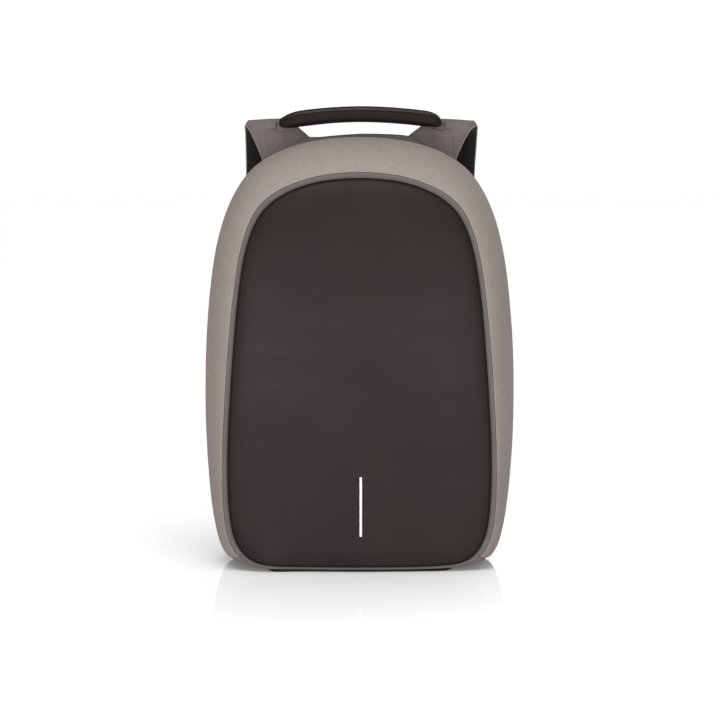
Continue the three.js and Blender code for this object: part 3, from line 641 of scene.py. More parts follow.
def wall_grid(stations):
    """(station, profile, 3) points of the closed wall section, and the profile index where the rim's bevel ends."""
    s = np.asarray(stations, float)
    crest, wide, groove = at(RIM, s), at(SHELL, s), at(PANEL, s)
    cy = front_y(crest[:, 0], crest[:, 1])
    bevel_out = crest - groove
    width = np.linalg.norm(bevel_out, axis=1)
    depth = np.minimum(GROOVE_DEPTH, 0.9 * width + 1.0)  # the low front edge has a slim bevel
    layers = []
    inner = at(PANEL, s) - outward(PANEL, s) * 5.5
    layers.append(xyz(inner, cy + 13.5))
    layers.append(xyz(inner, cy + 11.0))
    layers.append(xyz(groove - bevel_out * 0.12, cy + 10.4))
    layers.append(xyz(groove - bevel_out * 0.02, cy + depth + 3.0))
    # the seam along the crest gathers the cloth into small uneven tucks
    tuck = noise3(np.stack([s * 9.0, s * 0, s * 0], -1), 1.6, 4) * 0.35 + noise3(np.stack([s * 9.0, s * 0, s * 0], -1), 6.0, 6) * 0.3
    firm = np.minimum(1, width / 6)
    for t in (0.0, 0.035, 0.10, 0.20, 0.32, 0.44, 0.56, 0.68, 0.78, 0.84, 0.872, 0.895, 0.925, 0.955):
        p = groove + bevel_out * t
        fold = 0.7 * math.sin(math.pi * min(1.0, t / 0.86)) ** 0.8 if t < 0.86 else 0.0
        deep = {0.872: 0.35, 0.895: 1.15, 0.925: 1.25, 0.955: 0.5}.get(t, 0.0)
        edge = 0.8 * (1 - t / 0.1) ** 2 if t < 0.1 else 0.0
        y = cy + depth * (1 - t) + (deep - fold + tuck * min(1.0, 2 * t) * 0.4) * firm + edge
        layers.append(xyz(p, y))
    n_bevel = len(layers)
    a0 = math.radians(15)
    reach = wide - crest
    for deg in (14.6, 15.0, 15.6, 16.4, 17.5, 19, 21, 23, 25.5, 28, 31, 34, 37, 40, 43, 46, 49, 52, 55, 58, 61, 64, 67, 70, 73, 76, 79, 82, 85, 88, 90):
        r = math.radians(deg)
        share = (math.sin(r) - math.sin(a0)) / (1 - math.sin(a0))
        drop = {14.6: 0.55, 15.0: 0.22, 15.6: 0.06}.get(deg, 0.0) * firm
        pucker = tuck * 0.45 * math.exp(-(((deg - 15) / 2.6) ** 2)) * firm
        y = cy + (WIDEST_Y - cy) * (math.cos(a0) - math.cos(r)) / math.cos(a0) + drop + pucker
        layers.append(xyz(crest + reach * share, y))
    back = catmull([(-50, 0.0), (-38, 0.15), (-26, 0.8), (-17, 1.9), (-11, 3.4), (-6.6, 5.2), (-3.5, 7.3), (-1.2, 9.9), (-0.3, 12.4), (-0.9, 14.6)], 3)[1:]
    for y, draw in back:
        layers.append(xyz(drawn_in(s, draw), y))
    outer = np.stack(layers, 1)
    # the inside, one foam thickness in
    first = n_bevel + 8
    g = outer[:, first:]
    dj = np.gradient(g, axis=1)
    di = np.gradient(g, axis=0)
    normal = unit(np.cross(dj, di))
    centre = np.array([0, -70, 190.0])
    sign = np.sign((normal * (g - centre)).sum(2).mean())
    inside = (g - normal * sign * FOAM)[:, ::-3]
    return np.concatenate([outer, inside], 1), n_bevel


def wall_piece(name, s0, s1, count, replaces):
    s = np.linspace(s0, s1, count)
    p, n_bevel = wall_grid(s)
    # the cloth is drawn in where it is sewn at both ends
    run = np.linalg.norm(np.diff(at(SHELL, s), axis=0), axis=1)
    run = np.concatenate([[0], np.cumsum(run)])
    from_end = np.minimum(run, run[-1] - run)
    pull = 1.2 * np.exp(-((from_end / 1.5) ** 2))
    centre = np.array([0, -70, 60.0])
    p = p + unit(centre - p) * pull[:, None, None]
    # a slight unevenness of the foam
    body = np.zeros(p.shape[1])
    body[n_bevel + 5 : n_bevel + 47] = 1
    swell = noise3(p, 46, 1) * 0.30 + noise3(p * np.array([1, 0.5, 1]), 17, 2) * 0.10
    p = p + unit(p - np.array([0, -60, 190.0])) * (swell * body[None, :])[..., None]
    b = Builder()
    nj = p.shape[1]
    lengths = np.linalg.norm(np.diff(np.concatenate([p, p[:, :1]], 1), axis=1), axis=2).mean(0)
    v = np.concatenate([[0], np.cumsum(lengths)])
    u = np.concatenate([run, [run[-1]]])
    mat = np.zeros((len(s) - 1, nj), int)
    # the rim's inward bevel gets a darker copy of the grey, painted shade
    mat[:, : n_bevel - 1] = 1
    # the faces in the crest groove get the darkest copy, painted shade in the groove
    mat[:, n_bevel - 3 : n_bevel] = 2
    # at the low front edge (z under 12 mm) the groove and the bevel's first faces get it too, painted shade at the
    # bottom
    mat[:, :7] = np.where(p[:-1, 6, 2][:, None] < 12, 2, 1)
    if name == "base_cover":
        # the corner facets of the bevel get a darker copy of the grey, painted shade under the lifted corners; these
        # zones end in a point along the low front edge
        t = np.clip((np.arange(nj) - 4) / (n_bevel - 4), 0, 1)[None]
        x = p[:-1, n_bevel, 0][:, None]
        mat[((x < -(44 + 28 * t)) & (t > 0.30) | (x > 66 + 22 * t) & (t > 0.45)) & (np.arange(nj)[None] < n_bevel - 1)] = 3
        # the shell's low side beside each corner (crest x over 74 mm) gets a darker copy too, painted shade
        low = (np.arange(nj)[None] >= n_bevel - 1) & (np.arange(nj)[None] < n_bevel + 34)
        mat[(np.abs(x) > 74) & low] = 4
    base = b.grid(p, wrap_j=True, u=u, v=v, mat=mat)
    b.cap([base + k for k in range(nj)], flip=True)
    b.cap([base + (len(s) - 1) * nj + k for k in range(nj)])
    ob = b.make(name, [M["shell"], M["bevel"], M["seam"], M["corner_shade"], M["corner_low_shade"]], replaces, "shell_fabric")
    return ob


shell = wall_piece("shell_cover", SEAM_STATION + SEAM_GAP, AROUND - SEAM_STATION - SEAM_GAP, 520, ["panel_rim", "body_shell_left", "body_shell_right", "body_crown_left", "body_crown_right"])
base_cover = wall_piece("base_cover", -SEAM_STATION + SEAM_GAP, SEAM_STATION - SEAM_GAP, 150, ["base_panel"])

# dark sheet under the base, with its edge showing along the floor; that dark edge is partly the sheet and partly
# painted shade for the contact shadow
b = Builder()
# the plan outline of the sheet: front edge, rounded corners, sides and back
plan = []
for x in np.linspace(-83, 83, 41):
    plan.append((x, float(front_y(x, 2.0)) + 0.9 + 2.2 * max(0.0, (abs(x) - 74) / 9) ** 2))
corner = [(87.0, -122), (89.5, -108), (91, -92), (92, -68), (92.5, -40), (91, -22), (85, -13.5), (76, -12)]
plan += corner + [(-x, y) for x, y in corner[::-1]]
plan = soften(catmull(plan, 4, closed=True), 3.0)
mid = np.array([0, -68.0])
rings = []
for z, grow in ((1.45, -2.5), (1.75, -1.1), (1.6, -0.3), (1.2, 0.05), (0.5, 0.05), (0.1, -0.2), (0.0, -0.7), (0.0, -2.5), (0.0, -20)):
    q = plan + unit(plan - mid) * grow
    rings.append(np.stack([q[:, 0], q[:, 1], np.full(len(q), z)], 1))
rings = np.stack(rings)
base0 = b.grid(rings, wrap_j=True)
n = len(plan)
b.cap([base0 + k for k in range(n)], centre=(0, -68, 1.45))
b.cap([base0 + (len(rings) - 1) * n + k for k in range(n)], centre=(0, -68, 0.0), flip=True)
b.make("base_skid", [M["base"]], ["base_sheet"], "base_sheet")

# ------------------------------------------------------------------ front panel, piping, strip
EDGE_INSET = 1.9
EDGE_SET = 1.5
RISE = 2.3


def panel_y(p, edge, station):
    """Depth of the panel's face at (x, z) points p with their edge points."""
    crest = at(RIM, station)
    d = np.linalg.norm(edge - p, axis=-1)
    lag = (front_y(crest[:, 0], crest[:, 1]) - front_y(edge[:, 0], edge[:, 1])) * np.exp(-d / 25.0)
    roll = EDGE_SET - RISE * (1 - np.exp(-d / 5.0))
    return front_y(p[:, 0], p[:, 1]) + roll + lag


def panel_surface():
    s = np.arange(0, AROUND, 1 / 12)
    out = outward(PANEL, s)
    edge = at(PANEL, s) - out * EDGE_INSET
    middle = np.array([0, 185.0])
    layers = []
    far = np.linalg.norm(edge - middle, axis=1)
    for share in np.concatenate([np.linspace(0.02, 0.8, 22), np.linspace(0.82, 0.95, 9), np.linspace(0.957, 0.996, 9)]):
        p = middle + (edge - middle) * share
        layers.append(xyz(p, panel_y(p, edge, s)))
    y0 = panel_y(edge, edge, s)
    # rolled edge
    for a in (20, 45, 70, 90):
        r = math.radians(a)
        layers.append(xyz(edge + out * 0.7 * math.sin(r), y0 + 0.7 * (1 - math.cos(r)) + 0.08))
    layers.append(xyz(edge + out * 0.7, y0 + 3.2))
    for share in (0.985, 0.9, 0.5):
        p = middle + (edge - middle) * share
        layers.append(xyz(p, panel_y(p, edge, s) + 4.6))
    return np.stack(layers), middle


b = Builder()
p, middle = panel_surface()
base0 = b.grid(p, wrap_j=True)
n = p.shape[1]
ymid = float(p[0, :, 1].mean())
b.cap([base0 + k for k in range(n)], centre=(middle[0], ymid, middle[1]))
b.cap([base0 + (len(p) - 1) * n + k for k in range(n)], centre=(middle[0], ymid + 4.6, middle[1]), flip=True)
fix_flat_uv(b)
b.make("panel_face", [M["panel"]], ["front_panel"], "front_panel")


def tube(path, radius, sides, closed=True, up=None):
    """Rings of a round cord along a path."""
    path = np.asarray(path, float)
    t = unit(np.roll(path, -1, 0) - np.roll(path, 1, 0)) if closed else unit(np.gradient(path, axis=0))
    ref = np.tile(np.array([0, 1.0, 0]), (len(path), 1)) if up is None else up
    a = unit(np.cross(t, ref))
    c = np.cross(a, t)
    ang = np.arange(sides) * 2 * math.pi / sides
    return path[:, None] + radius * (np.cos(ang)[None, :, None] * a[:, None] + np.sin(ang)[None, :, None] * c[:, None])


s = np.arange(0, AROUND, 1 / 12)
crest = at(RIM, s)
ring = at(PANEL, s) - outward(PANEL, s) * 0.45
y = front_y(crest[:, 0], crest[:, 1]) + 4.3
b = Builder()
b.grid(tube(xyz(ring, y), 1.15, 10), wrap_i=True, wrap_j=True)
b.make("groove_piping", [M["welt"]], ["panel_welt"], "black_trim")

# bright strip, let into the panel
b = Builder()
zz = np.linspace(34.4, 90.2, 40)
crest_edge = np.array([[0, 5.2]])
yy = front_y(0, zz) + EDGE_SET - RISE * (1 - np.exp(-np.minimum(zz - 5, 200) / 5.0))
wide, sunk, proud = 1.25, 0.6, 0.55
sect = [(-1.0, 0.0), (-1.0, 0.75), (-0.82, 1.0), (0.82, 1.0), (1.0, 0.75), (1.0, 0.0)]
pts = np.stack([np.stack([np.full(len(zz), 1.2 + w * wide), yy + sunk - h * (sunk + proud), zz], 1) for w, h in sect], 1)
end = 0.35
pts = np.concatenate([pts[:1], pts, pts[-1:]])
pts[0, :, 2] -= end
pts[0, :, 1] += 0.3
pts[-1, :, 2] += end
pts[-1, :, 1] += 0.3
base0 = b.grid(pts, wrap_j=True)
b.cap([base0 + k for k in range(6)], flip=True)
b.cap([base0 + (len(pts) - 1) * 6 + k for k in range(6)])
b.make("bright_strip", [M["bar"]], ["metal_strip"], "metal_strip", sharp=35)

# ------------------------------------------------------------------ handle
# x, top, low, front, back; the two ends are blunt, the left one with a longer slope
HANDLE = [
    (-79.0, 423.4, 421.0, 1.0, 8.5), (-78.8, 424.7, 419.6, -2.4, 10.4), (-78.2, 425.8, 418.6, -4.8, 11.4), (-76.8, 426.9, 417.8, -6.8, 12.0),
    (-74.0, 428.5, 417.3, -8.6, 12.3), (-70.5, 430.3, 417.2, -10.3, 12.5), (-66.5, 431.9, 417.3, -11.5, 12.5), (-62.5, 433.1, 417.6, -12.4, 12.5),
    (-58.0, 434.0, 418.2, -12.9, 12.5), (-48.5, 435.3, 419.3, -13.2, 12.5), (-37, 436.6, 420.7, -13.4, 12.5), (-25, 437.5, 421.8, -13.5, 12.5),
    (0, 438.4, 422.7, -13.5, 12.5), (25, 437.8, 422.0, -13.5, 12.5), (48.5, 436.0, 420.2, -13.2, 12.5), (59, 435.0, 419.1, -12.9, 12.5),
    (65.5, 434.3, 418.6, -12.5, 12.5), (70, 433.3, 418.2, -11.9, 12.5), (73.8, 431.8, 418.0, -10.9, 12.4), (76.6, 430.0, 418.1, -9.6, 12.2),
    (78.8, 427.8, 418.4, -7.6, 11.8), (80.2, 425.8, 419.2, -5.0, 11.0), (80.9, 424.0, 420.4, -1.8, 9.4), (81.1, 423.0, 421.4, 1.2, 7.4),
]
rows = centripetal(HANDLE, 7)
# section: u from front to back, v from low to top, in shares of the half sizes
SECTION = [(-0.30, -1.0), (-0.62, -0.97), (-0.84, -0.86), (-0.95, -0.66), (-0.985, -0.40), (-0.99, -0.10), (-0.995, 0.16), (-1.0, 0.36), (-0.985, 0.49),
           (-0.93, 0.64), (-0.85, 0.76), (-0.755, 0.865), (-0.71, 0.885), (-0.67, 0.90), (-0.61, 0.945), (-0.42, 0.985), (-0.15, 1.0)]
SECTION = SECTION + [(-u, v) for u, v in SECTION[::-1]]
cut = np.array(SECTION)
fine_cut, painted_light_tag = [], []
for k in range(len(cut)):
    a, c = cut[k], cut[(k + 1) % len(cut)]
    for f in (0.0, 0.5):
        q = a + (c - a) * f
        fine_cut.append(q)
        # 1 marks the top faces, made darker as painted shade; 2 marks the front's upper band, made lighter as painted
        # highlight
        painted_light_tag.append(1 if q[1] > 0.872 else (2 if q[1] > 0.52 and q[0] < 0 else 0))
fine_cut = np.array(fine_cut)
fine_cut = soften(fine_cut, 0.8)
# a stitched groove runs between the padded strip and the top cover
groove_at = np.exp(-(((fine_cut[:, 1] - 0.885) / 0.03) ** 2)) * (np.abs(fine_cut[:, 0]) > 0.6)
rings = []
for x, top, low, fr, bk in rows:
    a, c = (bk - fr) / 2, (top - low) / 2
    k = min(1.0, c / 6.0)
    yy = (fr + bk) / 2 + a * fine_cut[:, 0] * (1 - 0.045 * groove_at * k)
    zz = (top + low) / 2 + c * fine_cut[:, 1] - 0.55 * groove_at * k
    rings.append(np.stack([np.full(len(yy), x), yy, zz], 1))
rings = np.stack(rings)
rings[..., 2] += noise3(rings, 26, 3) * 0.14
rings[..., 1] += noise3(rings, 18, 13) * 0.12
n = len(fine_cut)
painted_light_tag = np.array(painted_light_tag)
b = Builder()
base0 = b.grid(rings, wrap_j=True, mat=np.tile(painted_light_tag.astype(int), (len(rings) - 1, 1)))
b.cap([base0 + k for k in range(n)], centre=rings[0].mean(0) - np.array([0.1, 0, 0]), flip=True)
b.cap([base0 + (len(rings) - 1) * n + k for k in range(n)], centre=rings[-1].mean(0) + np.array([0.1, 0, 0]))
handle = b.make("carry_handle", [M["handle"], M["handle_top_shade"], M["handle_roll_highlight"]], ["top_handle"], "handle_cover")

# ------------------------------------------------------------------ shoulder straps
# middle line (y, z), inner edge, and outer edge on the right and on the left
STRAP = [
    (12.8, 348, 38, 88, 88), (13.4, 360, 36, 90, 90), (13.8, 374, 35.5, 92.2, 92.4), (14.0, 386, 36.5, 94.6, 95.2), (14.2, 396, 39.5, 98.6, 99.2),
    (14.8, 404.5, 45.0, 102.6, 103.0), (16.2, 411.0, 52.5, 106.4, 106.0), (18.6, 416.2, 60.0, 109.8, 108.8), (22.0, 419.4, 63.6, 112.8, 111.2),
    (26.4, 420.8, 65.0, 115.2, 112.6), (31.6, 420.4, 65.4, 116.6, 113.3), (36.8, 417.6, 65.0, 117.0, 113.5), (41.6, 413.4, 64.0, 117.0, 113.4),
    (45.4, 406.5, 62.6, 116.8, 113.3), (47.8, 397, 61.0, 116.3, 113.2), (50.0, 384, 59.4, 115.4, 113.0), (53, 362, 57, 114.6, 113.2),
    (57, 325, 55.5, 115, 115), (56, 285, 58.5, 118, 118), (51, 245, 64, 120.5, 120.5), (43.5, 210, 71.5, 120.8, 120.8), (39.4, 194, 77, 119, 119), (37.0, 184, 81, 117.5, 117.5),
]
THICK = 10.6


def segment_distance(x, z, a, c):
    ax, az, cx, cz = a[0], a[1], c[0], c[1]
    dx, dz = cx - ax, cz - az
    t = np.clip(((x - ax) * dx + (z - az) * dz) / (dx * dx + dz * dz), 0, 1)
    return np.hypot(x - ax - t * dx, z - az - t * dz), t


def creases(x, z, side):
    """Puckers beside the sewn ends of the handle, as a height in mm on the strap's front."""
    h = np.zeros_like(x)

    def line(a, c, wide, deep, fade=True):
        d, t = segment_distance(x, z, a, c)
        k = np.exp(-((d / wide) ** 2))
        if fade:
            k = k * (0.25 + 0.75 * np.sin(math.pi * np.clip(t, 0.02, 0.98)))
        return deep * k

    if side > 0:
        h += line((82.6, 418.5), (83.4, 432.0), 1.0, -2.3, False)
        h += line((85.1, 418.8), (85.7, 432.0), 1.4, 1.3, False)
        h += line((71.0, 418.4), (81.6, 415.2), 0.95, -1.9)
        h += line((81.6, 415.2), (94.0, 417.4), 0.95, -2.0)
        h += line((71.0, 416.0), (81.6, 412.6), 1.25, 1.7)
        h += line((81.6, 412.6), (93.0, 415.0), 1.25, 1.4)
        d, _ = segment_distance(x, z, (81.0, 415.6), (82.6, 415.5))
        h -= 1.9 * np.exp(-((d / 1.3) ** 2))
        h += line((91.4, 391.0), (91.8, 413.0), 1.5, -1.1)
        h += line((94.0, 391.0), (94.4, 412.0), 1.6, 0.6)
        h += line((84.5, 396.0), (86.0, 410.5), 3.0, 0.4)
        h += line((70.0, 399.0), (78.0, 409.0), 3.2, 0.35)
    else:
        # the handle's end goes into a pocket: the cloth beside it stands proud
        edge = 1 / (1 + np.exp(-(-x - 81.8) / 0.35))
        inside = np.exp(-(np.clip(-x - 81.8, 0, None) / 10.0)) * (1 / (1 + np.exp(-(z - 415.6) / 0.5)))
        h += 2.4 * edge * inside
        h -= 1.0 * (1 - edge) * (1 / (1 + np.exp(-(z - 415.6) / 0.5))) * np.exp(-(np.clip(x + 81.8, 0, None) / 8.0))
        h += line((-89.0, 415.0), (-76.0, 414.4), 0.8, -1.9)
        h += line((-88.5, 413.0), (-76.0, 412.6), 1.0, 1.5)
        h += line((-101.0, 406.0), (-92.5, 413.5), 1.6, 0.5)
        d, _ = segment_distance(x, z, (-92.6, 412.4), (-91.6, 411.8))
        h += 1.5 * np.exp(-((d / 1.9) ** 2))
        h += line((-96.8, 408.0), (-94.6, 416.0), 1.1, -1.2)
        h += line((-94.6, 416.0), (-90.4, 417.0), 1.0, -0.8)
        h += line((-73.0, 395.0), (-70.0, 411.0), 2.6, -0.5)
        h += line((-104.5, 402.0), (-100.5, 416.0), 3.4, 0.5)
    return h


def strap_pieces(side):
    name = "right" if side > 0 else "left"
    rows = np.concatenate([centripetal(np.array(STRAP)[:16], 13)[:-1], centripetal(np.array(STRAP)[15:], 11)])
    if side < 0:
        rows = rows[:, [0, 1, 2, 4, 3]]
    yz = rows[:, :2]
    t = unit(np.gradient(yz, axis=0))
    t = unit(soften(t, 3, closed=False))
    run = np.concatenate([[0], np.cumsum(np.linalg.norm(np.diff(yz, axis=0), axis=1))])
    total = run[-1]
    full = np.minimum(1, np.minimum(0.50 + run / 70, 0.42 + (total - run) / 40))
    # out points to the grey side, which is the front while the strap rises
    out = np.stack([np.zeros(len(t)), -t[:, 1], t[:, 0]], 1)
    inner, outer = soften(rows[:, 2], 4, closed=False), soften(rows[:, 3], 3, closed=False)
    if side < 0:
        inner = inner + 2.2 * np.exp(-(((rows[:, 1] - 408) / 9) ** 2)) * (rows[:, 0] < 24)
    half = (outer - inner) / 2
    mid = (outer + inner) / 2
    crest_tilt = np.exp(-(((rows[:, 0] - 27) / 11) ** 2)) * smooth01((rows[:, 1] - 396) / 14)

    EDGE = 9.0

    def swell(d, reach=EDGE):
        """How far the padding has filled out at a distance from the sewn edge."""
        return math.sin(math.pi / 2 * min(1.0, max(0.0, d - 1.2) / reach)) ** 0.85

    def dressed(usual, folded):
        """Section points, with a fuller, rounder edge where the strap folds over at its crest."""
        c = crest_tilt[:, None, None]
        return usual * (1 - c) + folded * c

    side_d = [0.0, 0.0, 0.15, 0.5, 1.0, 1.6, 2.3, 3.0, 3.8, 4.7, 5.6, 6.6, 7.8, 9.0, 10.4]
    side_h = [0.30, 0.40, 0.48, 0.52] + [0.54 + 0.40 * swell(d) for d in side_d[4:]]
    # stitch line pressed in beside the edge
    side_h = [h - 0.10 * math.exp(-(((d - 3.4) / 0.8) ** 2)) for d, h in zip(side_d, side_h)]
    n_mid = 52
    mid_w = []
    ws = [("i", d) for d in side_d]
    hs = list(side_h)
    mid_share = np.linspace(0, 1, n_mid + 2)[1:-1]
    ws += [("m", f) for f in mid_share]
    hs += [0.94 + 0.06 * math.sin(math.pi * f) for f in mid_share]
    ws += [("o", d) for d in side_d[::-1]]
    hs += side_h[::-1]

    def place(ws, hs):
        pts = []
        lo, hi = inner + side_d[-1], outer - side_d[-1]
        for (kind, q), h in zip(ws, hs):
            x = inner + q if kind == "i" else (outer - q if kind == "o" else lo + (hi - lo) * q)
            base = np.stack([side * x, rows[:, 0], rows[:, 1] - crest_tilt * (x - 92) * 0.05], 1)
            pts.append(base + out * (h * full * THICK / 2)[:, None])
        return np.stack(pts, 1)

    tight = [-0.20, -0.05] + [-0.05 + 0.99 * math.sqrt(1 - (1 - min(1.0, d / 3.8)) ** 2) for d in side_d[2:]]
    face = dressed(place(ws, hs), place(ws, tight + hs[len(side_d) : -len(side_d)] + tight[::-1]))
    body = np.clip((np.asarray(hs) - 0.56) / 0.3, 0, 1)
    front = smooth01((24 - face[..., 1]) / 4) * (rows[:, 1] > 380)[:, None] + smooth01((27.5 - face[..., 1]) / 5) * (face[..., 2] > 417)
    top = 1 - smooth01((face[..., 2] + 0.0875 * face[..., 1] - 423.2) / 2.4)
    h = creases(face[..., 0], face[..., 2], side) * np.clip(front, 0, 1) * top
    ripple = noise3(face * np.array([1, 1, 0.7]), 13, 5 + side) * 0.17 + noise3(face, 38, 8 + side) * 0.3
    face = face + out[:, None] * ((h + ripple) * body[None])[..., None]
    under_w = [("i", 1.0), ("i", 5.0), ("i", 10.0)] + [("m", f) for f in (0.25, 0.5, 0.75)] + [("o", 10.0), ("o", 5.0), ("o", 1.0)]
    inside = dressed(place(under_w[::-1], [0.22] * len(under_w)), place(under_w[::-1], [-0.2] * len(under_w)))
    p = np.concatenate([face, inside], 1)
    b = Builder()
    nj = p.shape[1]
    base0 = b.grid(p, wrap_j=True)
    b.cap([base0 + k for k in range(nj)], flip=True)
    b.cap([base0 + (len(p) - 1) * nj + k for k in range(nj)])
    ob = b.make("strap_cover_" + name, [M["strap"]], ["strap_shell_" + name], "strap_fabric")

    thr = Builder()
    for w in (7, len(ws) - 8):
        q = face[:, w]
        stitches(thr, q[8:-4], out[8:-4], height=0.4, lift=0.02)
    thr.make("strap_thread_" + name, [M["thread_grey"]], (), "strap_fabric")

    # light binding along both edges, between the two faces
    b = Builder()
    for kind in ("i", "o"):
        x = inner - 0.1 if kind == "i" else outer + 0.1
        line = np.stack([side * x, rows[:, 0], rows[:, 1] - crest_tilt * (x - 92) * 0.05], 1) + out * ((0.36 - 0.44 * crest_tilt) * full * THICK / 2)[:, None]
        g = tube(line, 0.75, 8, closed=False, up=out)
        base0 = b.grid(g, wrap_j=True)
        b.cap([base0 + k for k in range(8)], flip=True)
        b.cap([base0 + (len(g) - 1) * 8 + k for k in range(8)])
    b.make("strap_binding_" + name, [M["binding"]], (), "strap_fabric")

    # lining
    under_d = [0.35, 0.35, 0.5, 0.9, 1.6, 2.6, 3.8, 5.2, 7.0, 9.0, 10.4]
    under_h = [0.22, 0.16, 0.10, 0.05] + [0.02 - 0.92 * swell(d) for d in under_d[4:]]
    ws2 = [("i", d) for d in under_d] + [("m", f) for f in np.linspace(0, 1, 26)[1:-1]] + [("o", d) for d in under_d[::-1]]
    hs2 = under_h + [-0.90 - 0.10 * math.sin(math.pi * f) for f in np.linspace(0, 1, 26)[1:-1]] + under_h[::-1]
    low_edge = [-0.22, -0.26, -0.30, -0.34] + [-0.38 - 0.52 * swell(d, 4.0) for d in under_d[4:]]
    under = dressed(place(ws2, hs2), place(ws2, low_edge + hs2[len(under_d) : -len(under_d)] + low_edge[::-1]))
    k2 = np.clip((-np.asarray(hs2) - 0.1) / 0.4, 0, 1)
    under = under - out[:, None] * ((noise3(under, 22, 9 + side) * 0.2) * k2[None])[..., None]
    inside = dressed(place(under_w[::-1], [0.16] * len(under_w)), place(under_w[::-1], [-0.26] * len(under_w)))
    p = np.concatenate([under, inside], 1)
    b = Builder()
    nj = p.shape[1]
    base0 = b.grid(p, wrap_j=True)
    b.cap([base0 + k for k in range(nj)], flip=True)
    b.cap([base0 + (len(p) - 1) * nj + k for k in range(nj)])
    ob = b.make("strap_inside_" + name, [M["lining"]], ["strap_lining_" + name], "mesh_fabric")


for side in (1, -1):
    strap_pieces(side)

# ------------------------------------------------------------------ yoke at the top of the back
outline = [(0, 411.7), (20, 411.5), (44, 410.4), (54, 407.6), (68, 398.8), (84, 386.5), (96, 373.5), (103, 360), (105.5, 350), (103, 345.2), (96, 343.6), (60, 343.2), (0, 343.0)]
outline += [(-60, 343.2), (-96, 343.6), (-103, 345.2), (-105.5, 350), (-103, 360), (-96, 373.5), (-84, 386.5), (-68, 398.6), (-55, 407.6), (-47, 408.5), (-40, 408.3), (-33, 409.1), (-18, 410.4)]
outline = soften(catmull(outline, 10, closed=True), 4)


def yoke_lift(x, z, edge):
    return 1.2 * smooth01(edge / 14) - 0.9 * np.exp(-(((edge - 7) / 1.1) ** 2)) + noise3(np.stack([x, x * 0, z], -1), 30, 12) * 0.35 * smooth01(edge / 10)


b = pillow(outline, (0, 378), 0.9, 7.0, 3.2, rings=34, lift=yoke_lift)
yoke = b.make("yoke_cover", [M["strap"]], ["yoke"], "strap_fabric")

# ------------------------------------------------------------------ back: wall, padding
s = np.arange(0, AROUND, 1 / 10)
outline = drawn_in(s, 28.6)
b = pillow(outline, (0, 205), -4.0, 0.1, 1.6, rings=6)
b.make("back_cloth", [M["black"]], ["back_wall"], "black_fabric")

outline = drawn_in(s, 29.8)
outline[:, 1] = np.minimum(outline[:, 1], 341.5)
outline = soften(outline, 4)

# Cross channels between the cushions: height on the middle line, rise for each mm to the side.
CHANNELS = [(120, -0.04), (194, 0.10), (268, 0.18)]
CHANNEL_HALF, SPINE_HALF = 6.0, 10.0
PAD_BACK, PAD_TOP = 5.0, 341.3
SWELL_CAP = 4.5


def inflate(p, faces, sewn, cap, frames=20, pressure=4.0):
    """Points p (mm) after the foam has pushed the cloth out between its sewn points (cloth simulation)."""
    me = bpy.data.meshes.new("pad_under_pressure")
    me.from_pydata((p * 0.001).tolist(), [], faces)
    me.update()
    ob = bpy.data.objects.new("pad_under_pressure", me)
    scene = bpy.context.scene
    scene.collection.objects.link(ob)
    group = ob.vertex_groups.new(name="sewn")
    group.add([int(k) for k in np.nonzero(sewn)[0]], 1.0, "REPLACE")
    cloth = ob.modifiers.new("pad_cloth", "CLOTH")
    st = cloth.settings
    st.quality = 6
    st.mass = 0.3
    st.tension_stiffness = st.compression_stiffness = 8.0
    st.shear_stiffness = 5.0
    st.bending_stiffness = 0.4
    st.shrink_min = -0.02  # the cover is cut a little larger than the board behind it
    st.use_pressure = True
    st.uniform_pressure_force = pressure
    st.vertex_group_mass = "sewn"
    st.effector_weights.gravity = 0.0
    cloth.point_cache.frame_start = 1
    cloth.point_cache.frame_end = frames
    for f in range(1, frames + 1):
        scene.frame_set(f)
    seen = ob.evaluated_get(bpy.context.evaluated_depsgraph_get())
    q = np.empty(len(p) * 3)
    seen.data.vertices.foreach_get("co", q)
    q = q.reshape(-1, 3) * 1000
    scene.frame_set(1)
    bpy.data.objects.remove(ob)
    bpy.data.meshes.remove(me)
    d = q - p
    far = np.linalg.norm(d, axis=1, keepdims=True)
    d = d * np.minimum(1, cap / np.maximum(far, 1e-9))
    print("pad cloth moved up to %.1f mm, capped at %.1f" % (float(far.max()), cap))
    return p + d * ~sewn[:, None]


